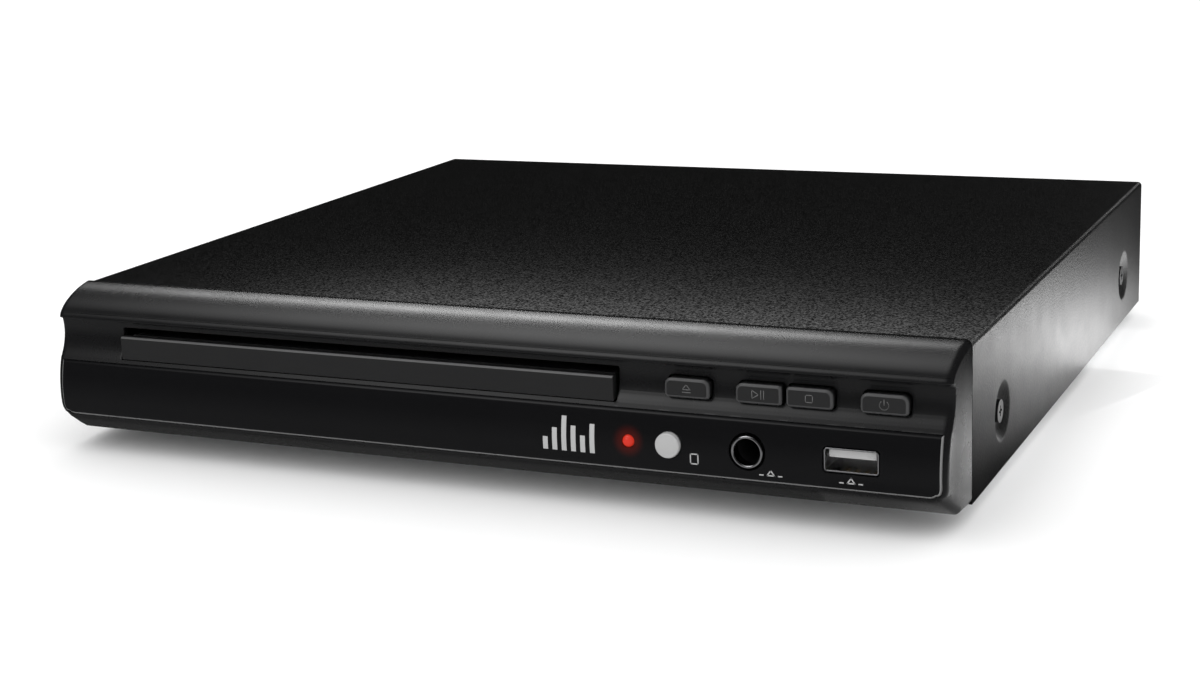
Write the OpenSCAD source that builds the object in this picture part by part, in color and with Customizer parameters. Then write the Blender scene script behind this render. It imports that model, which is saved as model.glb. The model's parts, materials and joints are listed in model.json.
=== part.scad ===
// Disc player with a microphone input for singing along: sheet cover, moulded front, tray loader, boards.
// The front faces -Y. Modules are drawn from the seam between front and cover (y = 0) and from the
// underside of the floor plate (z = 0). The if lines at the end move them over the footprint's middle.

/* [Case] */
// Width over the cover
case_w = 250; // [250:1:290]
// Depth of the cover behind the seam
cover_d = 214; // [212:1:250]
// Height of the cover above the floor plate's underside
cover_h = 39; // [38.6:0.2:46]
// Thickness of the steel sheet
sheet_t = 0.8; // [0.6:0.1:1]
// Height of the rubber feet
foot_h = 4; // [2:0.5:8]
// Diameter of the rubber feet
foot_d = 18; // [10:1:24]
// Height of the side screws above the floor plate's underside
side_screw_z = 14.5; // [12:0.5:18]
// Diameter of the dished recess round a side screw
dish_d = 14.5; // [11:0.5:17]

/* [Front] */
// How far the front stands forward of the seam
front_d = 17.6; // [17:0.1:19]
// Wall of the front moulding
front_wall = 2; // [1.6:0.1:2.2]
// How far the brow stands above the cover
brow_rise = 0.7; // [0.3:0.1:1.5]
// Height of the brow
brow_h = 7.4; // [6.4:0.1:7.6]
// Depth of the hollow channel under the brow
channel_depth = 1.5; // [0.8:0.1:1.8]
// Height of the glossy panel's lower edge
panel_low = 6.2; // [5.6:0.1:7]
// Height of the glossy panel's upper edge
panel_high = 21.3; // [21:0.1:21.6]
// Thickness of the glossy panel
panel_t = 1.2; // [0.8:0.1:1.4]
// Distance of the glossy panel from each side of the case
panel_margin = 2.3; // [2:0.1:4]

/* [Keys and sockets] */
// Width of a key
key_w = 11.4; // [9:0.1:11.6]
// Height of a key
key_h = 4.8; // [4:0.1:5.4]
// Height of the keys' middle
key_z = 27; // [26.8:0.1:27.4]
// Travel of a key
key_travel = 0.5; // [0.3:0.05:0.6]
// Distances of the keys' middles from the right side: eject, play, stop, power
key_from_right = [64.4, 46.5, 34.1, 16.3];
// Height of the light, the cap and the sockets
socket_z = 13.5; // [13.2:0.1:13.8]
// Distance of the status light from the right side
light_from_right = 79; // [78:0.5:80]
// Distance of the receiver's cap from the right side
cap_from_right = 68.6; // [68:0.2:69.4]
// Diameter of the receiver's cap
cap_d = 6.2; // [5:0.1:6.6]
// Distance of the microphone jack from the right side
jack_from_right = 48.8; // [48:0.2:50]
// Bore of the microphone jack
jack_bore = 6.5; // [6.4:0.05:6.6]
// Distance of the USB socket from the right side
usb_from_right = 23.6; // [23:0.2:25]
// Width of the USB shell
usb_w = 13.1; // [12.5:0.1:13.5]
// Height of the USB shell
usb_h = 5.7; // [5.4:0.1:6]

/* [Tray] */
// Distance of the disc's middle from the left side
disc_from_left = 94.4; // [94:0.2:96]
// Distance of the disc's middle behind the seam
disc_y = 66; // [66:0.5:67]
// Diameter of the disc's well
well_d = 121.2; // [120.8:0.1:122]
// Width of the tray
tray_w = 141.8; // [140:0.2:142]
// Height of the tray's underside
tray_low = 22.6; // [22.5:0.05:22.7]
// Thickness of the tray
tray_h = 5.7; // [5.5:0.1:5.8]
// How far the tray opens
tray_travel = 138; // [120:1:138]
// Width of the tray door
door_w = 144.5; // [144:0.1:145]
// Height of the tray door
door_h = 6.3; // [6:0.1:6.5]
// Clearance round the tray door
door_gap = 0.7; // [0.5:0.1:1]

/* [Loader] */
// Wall of the loader frame
loader_wall = 2.2; // [1.8:0.1:2.4]
// Clearance beside the tray
tray_side_gap = 1.2; // [0.8:0.1:1.6]
// Thickness of the loader's deck
deck_t = 2; // [1.6:0.1:2.2]
// Angle by which the traverse drops away from the disc
drop_angle = 3.5; // [2.5:0.1:3.6]
// Travel of the cam slider
cam_travel = 12; // [10:0.5:13]
// Travel of the optical pickup
pickup_travel = 35; // [28:0.5:35]
// Diameter of the pickup's guide rods
rod_d = 3; // [2.5:0.1:3.2]
// Tooth module of the tray's rack and pinion
tray_module = 1;
// Tooth module of the other gears
gear_module = 0.8;

/* [Boards] */
// Height of the boards' undersides
board_z = 5.6; // [5:0.1:6]
// Thickness of the circuit boards
board_t = 1.6; // [1.2:0.2:1.6]
// Diameter of the audio and video barrels
barrel_d = 8.3; // [8.2:0.05:8.4]
// Bore of the mains lead's gland
gland_bore = 6.8; // [6:0.1:7.4]

/* [Hidden] */

$fn = 64;
eps = 0.01;
fit_gap = 0.1;       // between fixed pieces that only rest side by side
run_gap = 0.3;       // between pieces that move past each other
shaft_gap = 0.05;    // radial, round a turning shaft
black = [0.05, 0.05, 0.055];
plate_grey = [0.72, 0.73, 0.74];
board_green = [0.05, 0.3, 0.15];
steel = [0.75, 0.75, 0.77];

half_w = case_w/2;
in_x = half_w - sheet_t;              // the cover's inner face
roof_z = cover_h - sheet_t;           // the underside of the cover's top
brow_top = cover_h + brow_rise;
channel_high = brow_top - brow_h;
seam = 0.3;
end_wall = 2.4;

// Front faces. The panel's face is a shallow bow, deepest in the middle of its height.
bow_z = 11.5;
bow = 0.0187;
chamfer_y = 8;
lip_y = front_d - 4.4;                // the channel's upper end
brow_y = front_d - 3.3;               // the brow's lower edge
curve_steps = 10;
function face_y(z) = -front_d + bow*pow(z - bow_z, 2);
function mix(a, b, t) = a + (b - a)*t;
function channel_y(t) = mix(face_y(panel_high), -lip_y, t) + channel_depth*4*t*(1 - t);
function bezier(p, t) = pow(1 - t, 3)*p[0] + 3*t*pow(1 - t, 2)*p[1] + 3*t*t*(1 - t)*p[2] + pow(t, 3)*p[3];
function arc(cx, cy, r, a0, a1, n) =
  [for (i = [0:n]) [cx + r*cos(mix(a0, a1, i/n)), cy + r*sin(mix(a0, a1, i/n))]];
brow_curve = [
  [-brow_y, channel_high], [-brow_y + 0.4, channel_high + 2.9], [-brow_y*0.56, brow_top - 1],
      [-seam, brow_top]
];
brow_inside = [
  [-brow_y + front_wall + 1.1, channel_high], [-brow_y + front_wall + 0.6, channel_high + 2],
  [-brow_y*0.56, brow_top - 1 - front_wall], [front_wall, brow_top - front_wall]
];

// The disc's middle, the tray and the slot that it comes out of
disc_x = -half_w + disc_from_left;
tray_top = tray_low + tray_h;
door_low = tray_low - 0.25;
door_face = front_d - 2.2;
door_t = 2.2;
slot_low = door_low - 0.2;
slot_high = channel_high - 1.7;
tray_front = -(door_face - door_t - 2);
tray_wall = 2.2;
tray_rear = disc_y + 102;
well_depth = 2;
small_well_d = 82;
small_well_depth = 1;
tray_floor = 1.3;
slot_half = 20.5;                     // half the tray's cut for the traverse

// Loader levels
frame_in = tray_w/2 + tray_side_gap;  // half the frame's inner width
frame_out = frame_in + loader_wall;
frame_front = 3.5;
frame_rear = tray_rear + 4.4;
frame_low = 3.3;
frame_high = tray_top + 2.3;
deck_high = 16;
deck_low = deck_high - deck_t;
opening_half = 44;                    // half the deck's opening for the traverse
opening_front = 34;
opening_rear = disc_y + 94;
leg_inset = 7;
leg_d = 9;
leg_y = [12, tray_rear - 6];

// Traverse: it hangs on two pins at the rear and drops at the front
pivot_y = disc_y + 86;
pivot_z = 12;
pivot_r = 2;
plate_high = 18.2;
plate_t = 1.4;
plate_low = plate_high - plate_t;
plate_half = 41;
plate_front = 41;
plate_rear = pivot_y + 4;
cam_pin_r = 1.5;
cam_pin_y = plate_front - 5.8;
cam_pin_z = 13;
cam_drop = (pivot_y - (cam_pin_y + 3))*sin(drop_angle);
rod_x = 21;
rod_z = 13.5;
rod_front = disc_y + 9.5;
rod_rear = disc_y + 88;
lens_y = disc_y + 24;
sled_front = lens_y - 9.5;
sled_len = 26;
disc_seat_z = tray_top - well_depth + 1.2;   // where a clamped disc's underside lies
motor_r = 12;
motor_low = 8.8;

// Gears
rack_x = disc_x + tray_w/2 - tray_module;    // pitch line of the tray's rack
drive_teeth = 16;
wheel_teeth = 30;
pulley_teeth = 10;
drive_y = 20;
drive_x = rack_x + tray_module*drive_teeth/2;
wheel_low = 17.6;
wheel_t = 2;
pulley_low = 20;
pulley_t = 2.5;
drive_low = tray_low + run_gap;
drive_t = 2.8;
rack_high = tray_low + 3.4;
mesh_angle = 40;                             // from the drive gear to the pulley gear
mesh_r = gear_module*(wheel_teeth + pulley_teeth)/2;
pulley_x = drive_x + mesh_r*cos(mesh_angle);
pulley_y = drive_y + mesh_r*sin(mesh_angle);
pulley_r = 11;
motor_pulley_r = 3.4;
belt_t = 1.1;
motor_dx = 6;
motor_dy = 21.7;
motor_x = pulley_x + motor_dx;
motor_y = pulley_y + motor_dy;
tray_motor_r = 10;
gear_post_r = 1.5;
side_deck_end = motor_x + tray_motor_r + 1.5;
side_deck_rear = motor_y + tray_motor_r + 1 + loader_wall;

// Feed gears on the traverse
feed_x = disc_x + 30;
feed_pinion_teeth = 10;
feed_wheel_teeth = 25;
feed_rack_x = feed_x - gear_module*feed_pinion_teeth/2;
feed_y = lens_y + pickup_travel - 3.5;
feed_post_r = 1.2;
feed_wheel_low = plate_high + run_gap;
feed_wheel_t = 1.6;
feed_rack_low = feed_wheel_low + feed_wheel_t + run_gap;
feed_rack_t = 1.8;
motor_teeth = 8;
feed_mesh_r = gear_module*(feed_wheel_teeth + motor_teeth)/2;
feed_mesh_angle = 77;
feed_motor_x = feed_x + feed_mesh_r*cos(feed_mesh_angle);
feed_motor_y = feed_y + feed_mesh_r*sin(feed_mesh_angle);
feed_motor_r = 5.5;
feed_motor_h = 10;

// Clamp
bridge_low = frame_high;
bridge_t = 1.4;
bridge_w = 32;
bridge_hole_r = 11;
clamp_low = tray_top + run_gap;

// Keys, sockets and their boards
key_x = [for (d = key_from_right) half_w - d];
key_face = front_d - 2.1;
channel_mid = -channel_y(0.5);
key_back = channel_mid - front_wall;         // the wall's inner face behind a key
flange_t = 0.8;
plunger_r = 1.75;
plunger_t = key_travel + run_gap;
switch_w = 6;
switch_t = 3.5;
key_board_y = -(key_back - run_gap - flange_t - plunger_t - switch_t);
light_x = half_w - light_from_right;
cap_x = half_w - cap_from_right;
jack_x = half_w - jack_from_right;
usb_x = half_w - usb_from_right;
light_d = 3;
light_inset = 0.6;
wall_back = front_d - panel_t - front_wall;  // the wall's inner face behind the panel
jack_ring_wall = 0.7;
jack_front = front_d - 3;
jack_rear = 15;
collar_back = -wall_back + 2.1;            // the inner end of the cap and of the light
collar_t = 0.8;
tab_x = [-half_w + 35, 0, half_w - 35];
tab_w = 12;
front_board_low = socket_z - 8.1;
panel_hole_gap = 0.3;
barrel_pitch = 14;
barrel_rows = [socket_z + 0.7, socket_z + 14.2];
rear_y = cover_d - sheet_t - fit_gap;        // the rear panel's outer face
av_x = half_w - 41;
barrel_out = 9;
barrel_wall = 0.45;
barrel_seat = 1.65;
barrel_neck_r = 3.4;
socket_block_w = barrel_pitch*2 + 13;
socket_block_top = barrel_rows[1] + 6.8;
gland_x = -half_w + 25;
gland_z = 14;
main_board_w = 68;
main_board_front = 88;
power_board_w = 100;
power_board_d = 33;
power_x = -half_w + 6 + power_board_w/2;
power_y = rear_y - 3 - power_board_d/2;
board_top = board_z + board_t;
foot_x = half_w - 25;
foot_y = [26, cover_d - 24];
side_screw_y = [29, cover_d - 29];
chassis_x = in_x - fit_gap;
lug_w = 17;
dish_depth = 2;
dish_floor_d = 9;
screw_r = 1.4;

// The footprint's middle, from the microphone side's cap to the ends of the rear barrels
cap_proud = 1.1;
front_reach = front_d + cap_proud;
rear_reach = rear_y + barrel_out;
mid_y = (rear_reach - front_reach)/2;

// Draws its children on both sides of the case
module both_sides() {
  children();
  mirror([1, 0, 0]) children();
}
// Extrudes an outline drawn in y and z along X, evenly about x = 0
module along_x(length) {
  rotate([90, 0, 90]) translate([0, 0, -length/2]) linear_extrude(length) children();
}
// Extrudes an outline drawn in x and z forward from y0
module forward(y0, length) {
  translate([0, y0, 0]) rotate([90, 0, 0]) linear_extrude(length) children();
}
// A bar between two corners
module bar(low, high) {
  translate(low) cube(high - low);
}
// A round bar or bore that points forward from y0
module rod_forward(x, y0, z, length, r) {
  translate([x, y0, z]) rotate([90, 0, 0]) cylinder(h = length, r = r);
}
module ring(r_out, r_in, h) {
  difference() {
    cylinder(h = h, r = r_out);
    translate([0, 0, -1]) cylinder(h = h + 2, r = r_in);
  }
}

// Involute teeth. play thins each flank, so that meshing gears never touch.
pressure = 25;
tooth_play = 0.12;
function involute(a) = tan(a)*180/PI - a;
function tooth_half(m, teeth, r) =
  let (base = m*teeth/2*cos(pressure))
  90/teeth - tooth_play/(m*teeth/2)*180/PI/2 + involute(pressure) - involute(r > base ? acos(base/r) : 0);
function tooth_radii(m, teeth) =
  [for (h = [-1.15, -0.6, 0, 0.45, 0.9]) m*teeth/2 + h*m];
function tooth_points(m, teeth, a) = let (radii = tooth_radii(m, teeth), n = len(radii) - 1) concat(
  [for (i = [0:n]) let (b = a - tooth_half(m, teeth, radii[i])) radii[i]*[cos(b), sin(b)]],
  [for (i = [n:-1:0]) let (b = a + tooth_half(m, teeth, radii[i])) radii[i]*[cos(b), sin(b)]]
);
function gear_points(m, teeth) = [for (k = [0:teeth - 1]) each tooth_points(m, teeth, 360*k/teeth)];
module gear(m, teeth, h, turn = 0) {
  rotate([0, 0, turn]) linear_extrude(h) polygon(gear_points(m, teeth));
}
// One tooth of a rack that points towards +X from its root, its middle at y = 0 on the pitch line x = 0
module rack_tooth(m, h) {
  root = m*1.15;
  tip = m*0.9;
  half = PI*m/4 - tooth_play/2;
  linear_extrude(h) polygon([
    [-root, -half - root*tan(pressure)], [tip, -half + tip*tan(pressure)],
    [tip, half - tip*tan(pressure)], [-root, half + root*tan(pressure)]
  ]);
}

// Case

fold_r = 1.2;
lip_h = 8;
cover_screw_x = [-70, 40, half_w - 12];

function cover_section(out, r) = concat(
  [[-out, -1]],
  arc(-out + r, cover_h - half_w + out - r, r, 180, 90, 4),
  arc(out - r, cover_h - half_w + out - r, r, 90, 0, 4),
  [[out, -1]]
);
// Places its children at each side screw, with Z pointing into the case from the cover's face
module at_side_screws() {
  both_sides() for (y = side_screw_y) translate([half_w, y, side_screw_z]) rotate([0, -90, 0]) children();
}
module top_cover() {
  color(black) difference() {
    union() {
      difference() {
        translate([0, cover_d, 0]) rotate([90, 0, 0]) linear_extrude(cover_d)
          polygon(cover_section(half_w, fold_r));
        translate([0, cover_d + 1, 0]) rotate([90, 0, 0])
          linear_extrude(cover_d + 2) polygon(cover_section(in_x, fold_r - sheet_t/2));
      }
      bar([-in_x, cover_d - sheet_t, cover_h - lip_h], [in_x, cover_d, cover_h - sheet_t/2]);
      at_side_screws() translate([0, 0, sheet_t/2])
        cylinder(h = dish_depth + sheet_t/2, r1 = dish_d/2 + sheet_t, r2 = dish_floor_d/2 + sheet_t);
    }
    bar([-half_w - 1, -1, -2], [half_w + 1, cover_d + 1, 0]);
    at_side_screws() {
      translate([0, 0, -eps]) cylinder(h = dish_depth + eps, r1 = dish_d/2, r2 = dish_floor_d/2);
      cylinder(h = dish_depth + sheet_t + 1, r = screw_r + 0.3);
    }
    for (x = cover_screw_x) rod_forward(x, cover_d + 1, cover_h - lip_h/2, 3, screw_r + 0.3);
    bar([av_x - socket_block_w/2, cover_d - 2, cover_h - lip_h - 1],
        [av_x + socket_block_w/2, cover_d + 1, socket_block_top]);
  }
}

board_posts = concat(
  [for (x = [-1, 1], y = [-1, 1]) [power_x + x*(power_board_w/2 - 5), power_y + y*(power_board_d/2 - 4)]],
  [for (x = [half_w - 7 - 4, half_w - 7 - main_board_w + 4], y = [main_board_front + 4, rear_y - 20]) [x, y]],
  [for (x = [jack_x - 5, usb_x + 9]) [x, 19]]
);
// The microphone board lies lower than the others, because its jack sits low in the front
function post_top(p) = p[1] < 30 ? front_board_low : board_z;
leg_points = [for (x = [-1, 1], y = leg_y) [disc_x + x*(frame_in - leg_inset), y]];
vent_count = 9;
vent_pitch = 9;

module floor_chassis() {
  lug_x = half_w - dish_depth - sheet_t - fit_gap;
  color(plate_grey) difference() {
    union() {
      bar([-chassis_x, 1, 0], [chassis_x, rear_y - sheet_t - fit_gap, sheet_t]);
      both_sides() {
        bar([chassis_x - sheet_t, 4, sheet_t/2], [chassis_x, rear_y - 2, side_screw_z + dish_d/2 + 1]);
        for (y = side_screw_y)
          bar([lug_x - sheet_t, y - lug_w/2, sheet_t/2], [lug_x, y + lug_w/2, side_screw_z + 6]);
      }
      bar([-chassis_x + 2, 1, sheet_t/2], [chassis_x - 2, 1 + sheet_t, 4.2]);
      for (p = board_posts) translate(p) cylinder(h = post_top(p), r = 2.8);
    }
    both_sides() for (y = side_screw_y) {
      bar([chassis_x - sheet_t - 1, y - lug_w/2 - 1, sheet_t], [chassis_x + 1, y + lug_w/2 + 1, cover_h]);
      translate([in_x - 9, y, side_screw_z]) rotate([0, 90, 0]) cylinder(h = 9, r = screw_r + shaft_gap);
    }
    for (p = board_posts) translate([p[0], p[1], -1]) cylinder(h = post_top(p) + 2, r = 1.15);
    for (p = leg_points) translate([p[0], p[1], -1]) cylinder(h = 3, r = 1.4);
    for (x = [-foot_x, foot_x], y = foot_y) translate([x, y, -1]) cylinder(h = 3, r = 2.5);
    for (x = tab_x) bar([x - tab_w/2 - fit_gap, 0, sheet_t], [x + tab_w/2 + fit_gap, 3, 5]);
    for (i = [0:vent_count - 1]) translate([disc_x - 36 + i*vent_pitch, 150, -1]) cube([3, 20, 3]);
  }
}
module rear_panel() {
  low = sheet_t + fit_gap;
  top = cover_h - sheet_t - fit_gap;
  color(plate_grey) difference() {
    union() {
      bar([-chassis_x + 1, rear_y - sheet_t, low], [chassis_x - 1, rear_y, top]);
      bar([-chassis_x + 1, rear_y - 3.5, low], [chassis_x - 1, rear_y - sheet_t/2, low + sheet_t]);
    }
    for (c = [-1:1], z = barrel_rows)
      rod_forward(av_x + c*barrel_pitch, rear_y + 1, z, 3, barrel_d/2 + 0.4);
    rod_forward(gland_x, rear_y + 1, gland_z, 3, gland_bore/2 + 1.9);
    for (x = cover_screw_x) rod_forward(x, rear_y + 1, cover_h - lip_h/2, 3, screw_r + shaft_gap);
    for (i = [0:vent_count - 1]) bar([-60 + i*vent_pitch, rear_y - 2, 11],
        [-56.5 + i*vent_pitch, rear_y + 1, 28]);
  }
}
module feet() {
  color([0.04, 0.04, 0.04]) for (x = [-foot_x, foot_x], y = foot_y) translate([x, y, 0]) {
    translate([0, 0, -foot_h]) cylinder(h = foot_h, r1 = foot_d/2 - 0.6, r2 = foot_d/2);
    translate([0, 0, -eps]) cylinder(h = sheet_t + 1, r = 2.4);
  }
}
module cover_screws() {
  head_r = 2.9;
  head_h = 1.5;
  color([0.1, 0.1, 0.1]) {
    at_side_screws() translate([0, 0, dish_depth]) {
      translate([0, 0, -head_h]) difference() {
        cylinder(h = head_h, r = head_r);
        for (a = [0, 90]) rotate([0, 0, a]) translate([-1.4, -0.3, -1]) cube([2.8, 0.6, 1.8]);
      }
      translate([0, 0, -eps]) cylinder(h = 5, r = screw_r);
    }
    for (x = cover_screw_x) {
      rod_forward(x, cover_d + head_h, cover_h - lip_h/2, head_h, head_r);
      rod_forward(x, cover_d + eps, cover_h - lip_h/2, 5, screw_r);
    }
  }
}

// Front moulding

end_taper = 1.2;
edge_r = 1.3;
brow_end_r = 2.4;
panel_corner = 4.4;
corner_cut = 3.4;                     // how far a lower front corner's facet reaches up and inwards
front_plan = concat(
  [[-half_w, 6], [-half_w, -seam]],
  arc(-half_w + end_taper + edge_r, -front_d + edge_r, edge_r, 180, 270, 4),
  arc(half_w - end_taper - edge_r, -front_d + edge_r, edge_r, 270, 360, 4),
  [[half_w, -seam], [half_w, 6]]
);
front_view = concat(
  [[-half_w, -1], [half_w, -1]],
  arc(half_w - brow_end_r, brow_top - brow_end_r, brow_end_r, 0, 90, 5),
  arc(-half_w + brow_end_r, brow_top - brow_end_r, brow_end_r, 90, 180, 5)
);
bezel_outline = concat(
  [[-seam, 0], [-chamfer_y, 0], [face_y(panel_low) + 1.2, panel_low - 1.5]],
  [for (i = [0:8]) let (z = mix(panel_low - 0.5, panel_high, i/8)) [face_y(z), z]],
  [for (i = [1:8]) [channel_y(i/8), mix(panel_high, channel_high, i/8)]],
  [for (i = [0:curve_steps]) bezier(brow_curve, i/curve_steps)]
);
bezel_inside = concat(
  [[6, front_wall], [-chamfer_y + 1.5, front_wall]],
  [for (z = [panel_low + 1.5, bow_z, panel_high]) [face_y(z) + panel_t + front_wall, z]],
  [[-channel_mid + front_wall, mix(panel_high, channel_high, 0.35)]],
  [[-channel_mid + front_wall, channel_high - 0.6]],
  [for (i = [0:curve_steps]) bezier(brow_inside, i/curve_steps)],
  [[6, brow_top - front_wall]]
);
panel_half = half_w - panel_margin;
// A block that takes off a lower front corner, from the end of the bottom's chamfer to the front face
module corner_facet() {
  low = panel_low - 1.5;
  end_x = half_w - end_taper;
  foot = [half_w, -chamfer_y, 0];
  up = [end_x, face_y(low + corner_cut), low + corner_cut] - foot;
  across = [end_x - corner_cut, face_y(panel_low) + 1.2, low] - foot;
  out = cross(up, across)/norm(cross(up, across));
  translate(foot) rotate([0, acos(out[2]), atan2(out[1], out[0])]) translate([-12, -12, 0])
    cube([24, 24, 6]);
}
function panel_view(gap) = concat(
  arc(-panel_half + panel_corner, panel_low + panel_corner, panel_corner - gap, 180, 270, 5),
  arc(panel_half - panel_corner, panel_low + panel_corner, panel_corner - gap, 270, 360, 5),
  [[panel_half - gap, panel_high], [-panel_half + gap, panel_high]]
);
// The space between the bowed face and a copy of it moved back by depth, inside the panel's outline
module panel_space(gap, proud, depth) {
  intersection() {
    along_x(case_w) polygon(concat(
      [for (i = [0:8]) let (z = mix(panel_low - 1, panel_high, i/8)) [face_y(z) + depth, z]],
      [for (i = [8:-1:0]) let (z = mix(panel_low - 1, panel_high, i/8)) [face_y(z) - proud, z]]
    ));
    forward(-1, 40) polygon(panel_view(gap));
  }
}
module socket_holes(extra) {
  reach = 20;
  rod_forward(light_x, -4, socket_z, reach, light_d/2 + extra);
  rod_forward(cap_x, -4, socket_z, reach, cap_d/2 + extra);
  rod_forward(jack_x, -4, socket_z, reach, jack_bore/2 + jack_ring_wall + 0.3 + extra);
  bar([usb_x - usb_w/2 - extra, -4 - reach, socket_z - usb_h/2 - extra],
      [usb_x + usb_w/2 + extra, -4, socket_z + usb_h/2 + extra]);
}
// A key's outline in x and z. round_left and round_right say which upper corners are round.
function key_view(gap, round_left, round_right) =
  let (w = key_w/2 + gap, h = key_h/2 + gap, r = 1.6, s = 0.5) concat(
    [[-w + s, -h], [w - s, -h], [w, -h + s]],
    round_right ? arc(w - r, h - r, r, 0, 90, 4) : [[w, h - s], [w - s, h]],
    round_left ? arc(-w + r, h - r, r, 90, 180, 4) : [[-w + s, h], [-w, h - s]],
    [[-w, -h + s]]
  );
key_round = [[true, true], [true, false], [false, true], [true, true]];
module at_key(i) {
  translate([key_x[i], 0, key_z]) children();
}
module front_bezel() {
  ledge_t = 1.6;
  color(black) difference() {
    union() {
      difference() {
        intersection() {
          along_x(case_w) polygon(bezel_outline);
          translate([0, 0, -1]) linear_extrude(cover_h + 5) polygon(front_plan);
          forward(5, 40) polygon(front_view);
        }
        along_x(case_w - 2*end_wall) polygon(bezel_inside);
      }
      both_sides() bar([in_x - fit_gap - ledge_t, -seam - 3, 4], [in_x - fit_gap, 2.5, roof_z - 3]);
      bar([-in_x + 4, -seam - 3, roof_z - fit_gap - ledge_t], [in_x - 4, 3, roof_z - fit_gap]);
      bar([-in_x + 4, -seam - 3, roof_z - fit_gap - ledge_t], [in_x - 4, -seam, roof_z + 1]);
      for (x = tab_x) {
        bar([x - tab_w/2, -3, sheet_t + fit_gap], [x + tab_w/2, 5, sheet_t + fit_gap + 1.6]);
        bar([x - tab_w/2, -3, sheet_t + fit_gap], [x + tab_w/2, -1, 3]);
      }
    }
    both_sides() corner_facet();
    panel_space(0, 6, panel_t);
    socket_holes(panel_hole_gap + 0.15);
    bar([disc_x - door_w/2 - door_gap, -30, slot_low], [disc_x + door_w/2 + door_gap, -5, slot_high]);
    for (i = [0:3]) at_key(i) forward(-5, 20) polygon(key_view(0.25, key_round[i][0], key_round[i][1]));
  }
}
module lower_panel() {
  color([0.02, 0.02, 0.025]) difference() {
    panel_space(fit_gap, 0, panel_t);
    socket_holes(panel_hole_gap);
  }
}
module receiver_cap() {
  color([0.75, 0.75, 0.75]) {
    rod_forward(cap_x, collar_back, socket_z, front_reach + collar_back, cap_d/2);
    rod_forward(cap_x, collar_back, socket_z, collar_t, cap_d/2 + 0.9);
  }
}
module status_light() {
  color([0.9, 0.1, 0.05]) {
    rod_forward(light_x, collar_back, socket_z, front_d + collar_back - light_inset, light_d/2);
    translate([light_x, -front_d + light_inset, socket_z]) sphere(r = light_d/2);
    rod_forward(light_x, collar_back, socket_z, collar_t, light_d/2 + 0.8);
    for (s = [-1, 1])
      bar([light_x + s*0.9 - 0.3, collar_back - eps, socket_z - 0.25],
          [light_x + s*0.9 + 0.3, key_board_y, socket_z + 0.25]);
  }
}
module key(i) {
  back = -key_back + run_gap + flange_t;
  color(black) at_key(i) {
    translate([0, back - eps, 0]) forward(0, key_face + back - 0.6)
      polygon(key_view(0, key_round[i][0], key_round[i][1]));
    translate([0, -key_face + 0.65, 0]) forward(0, 0.65)
      polygon(0.93*key_view(0, key_round[i][0], key_round[i][1]));
    forward(back, flange_t) square([key_w - 1, key_h + 2], center = true);
  }
}
module plunger(i) {
  back = -key_back + run_gap + flange_t;
  color("ivory") rod_forward(key_x[i], back + plunger_t + 0.7, key_z, plunger_t + 0.7, plunger_r);
}
module key_board() {
  color(board_green) {
    bar([light_x - 4, key_board_y, socket_z + 7], [half_w - 4, key_board_y + board_t, key_z + 6]);
    bar([light_x - 4, key_board_y, socket_z - 5], [cap_x + 6, key_board_y + board_t, socket_z + 7 + eps]);
  }
}
module tact_switches() {
  color([0.15, 0.15, 0.16]) for (i = [0:3]) difference() {
    bar([key_x[i] - switch_w/2, key_board_y - switch_t, key_z - switch_w/2],
        [key_x[i] + switch_w/2, key_board_y, key_z + switch_w/2]);
    rod_forward(key_x[i], key_board_y - switch_t + 1.4, key_z, 3, plunger_r + 0.1);
  }
}
module infrared_receiver() {
  color([0.1, 0.08, 0.09]) {
    bar([cap_x - 2.8, key_board_y - 4, socket_z - 3], [cap_x + 2.8, key_board_y, socket_z + 3]);
    translate([cap_x, key_board_y - 4, socket_z]) sphere(r = 1.6);
  }
}
module microphone_board() {
  color(board_green) difference() {
    bar([jack_x - 11, -wall_back + 5, front_board_low], [usb_x + 13, 23, front_board_low + board_t]);
    for (p = board_posts) if (p[1] < 30) translate([p[0], p[1], 0]) cylinder(h = 20, r = 1.4);
  }
}
module microphone_jack() {
  body_r = jack_bore/2 + jack_ring_wall;
  low = front_board_low + board_t;
  color([0.06, 0.06, 0.06]) difference() {
    union() {
      bar([jack_x - 8, -wall_back + 2.2, low], [jack_x + 8, jack_rear, socket_z + 6.5]);
      rod_forward(jack_x, -wall_back + 2.3, socket_z, jack_front - wall_back + 2.3, body_r);
    }
    rod_forward(jack_x, 12.5, socket_z, 40, jack_bore/2);
  }
}
module jack_ring() {
  body_r = jack_bore/2 + jack_ring_wall;
  color("silver") difference() {
    rod_forward(jack_x, -jack_front, socket_z, front_d + 0.2 - jack_front, body_r);
    rod_forward(jack_x, -front_d + 4, socket_z, 10, jack_bore/2);
  }
}
module usb_shell() {
  wall = 0.35;
  depth = front_d - 0.3;
  color("silver") difference() {
    bar([usb_x - usb_w/2, -depth, socket_z - usb_h/2], [usb_x + usb_w/2, 2, socket_z + usb_h/2]);
    bar([usb_x - usb_w/2 + wall, -depth - 1, socket_z - usb_h/2 + wall],
        [usb_x + usb_w/2 - wall, 3, socket_z + usb_h/2 - wall]);
  }
}
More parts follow.
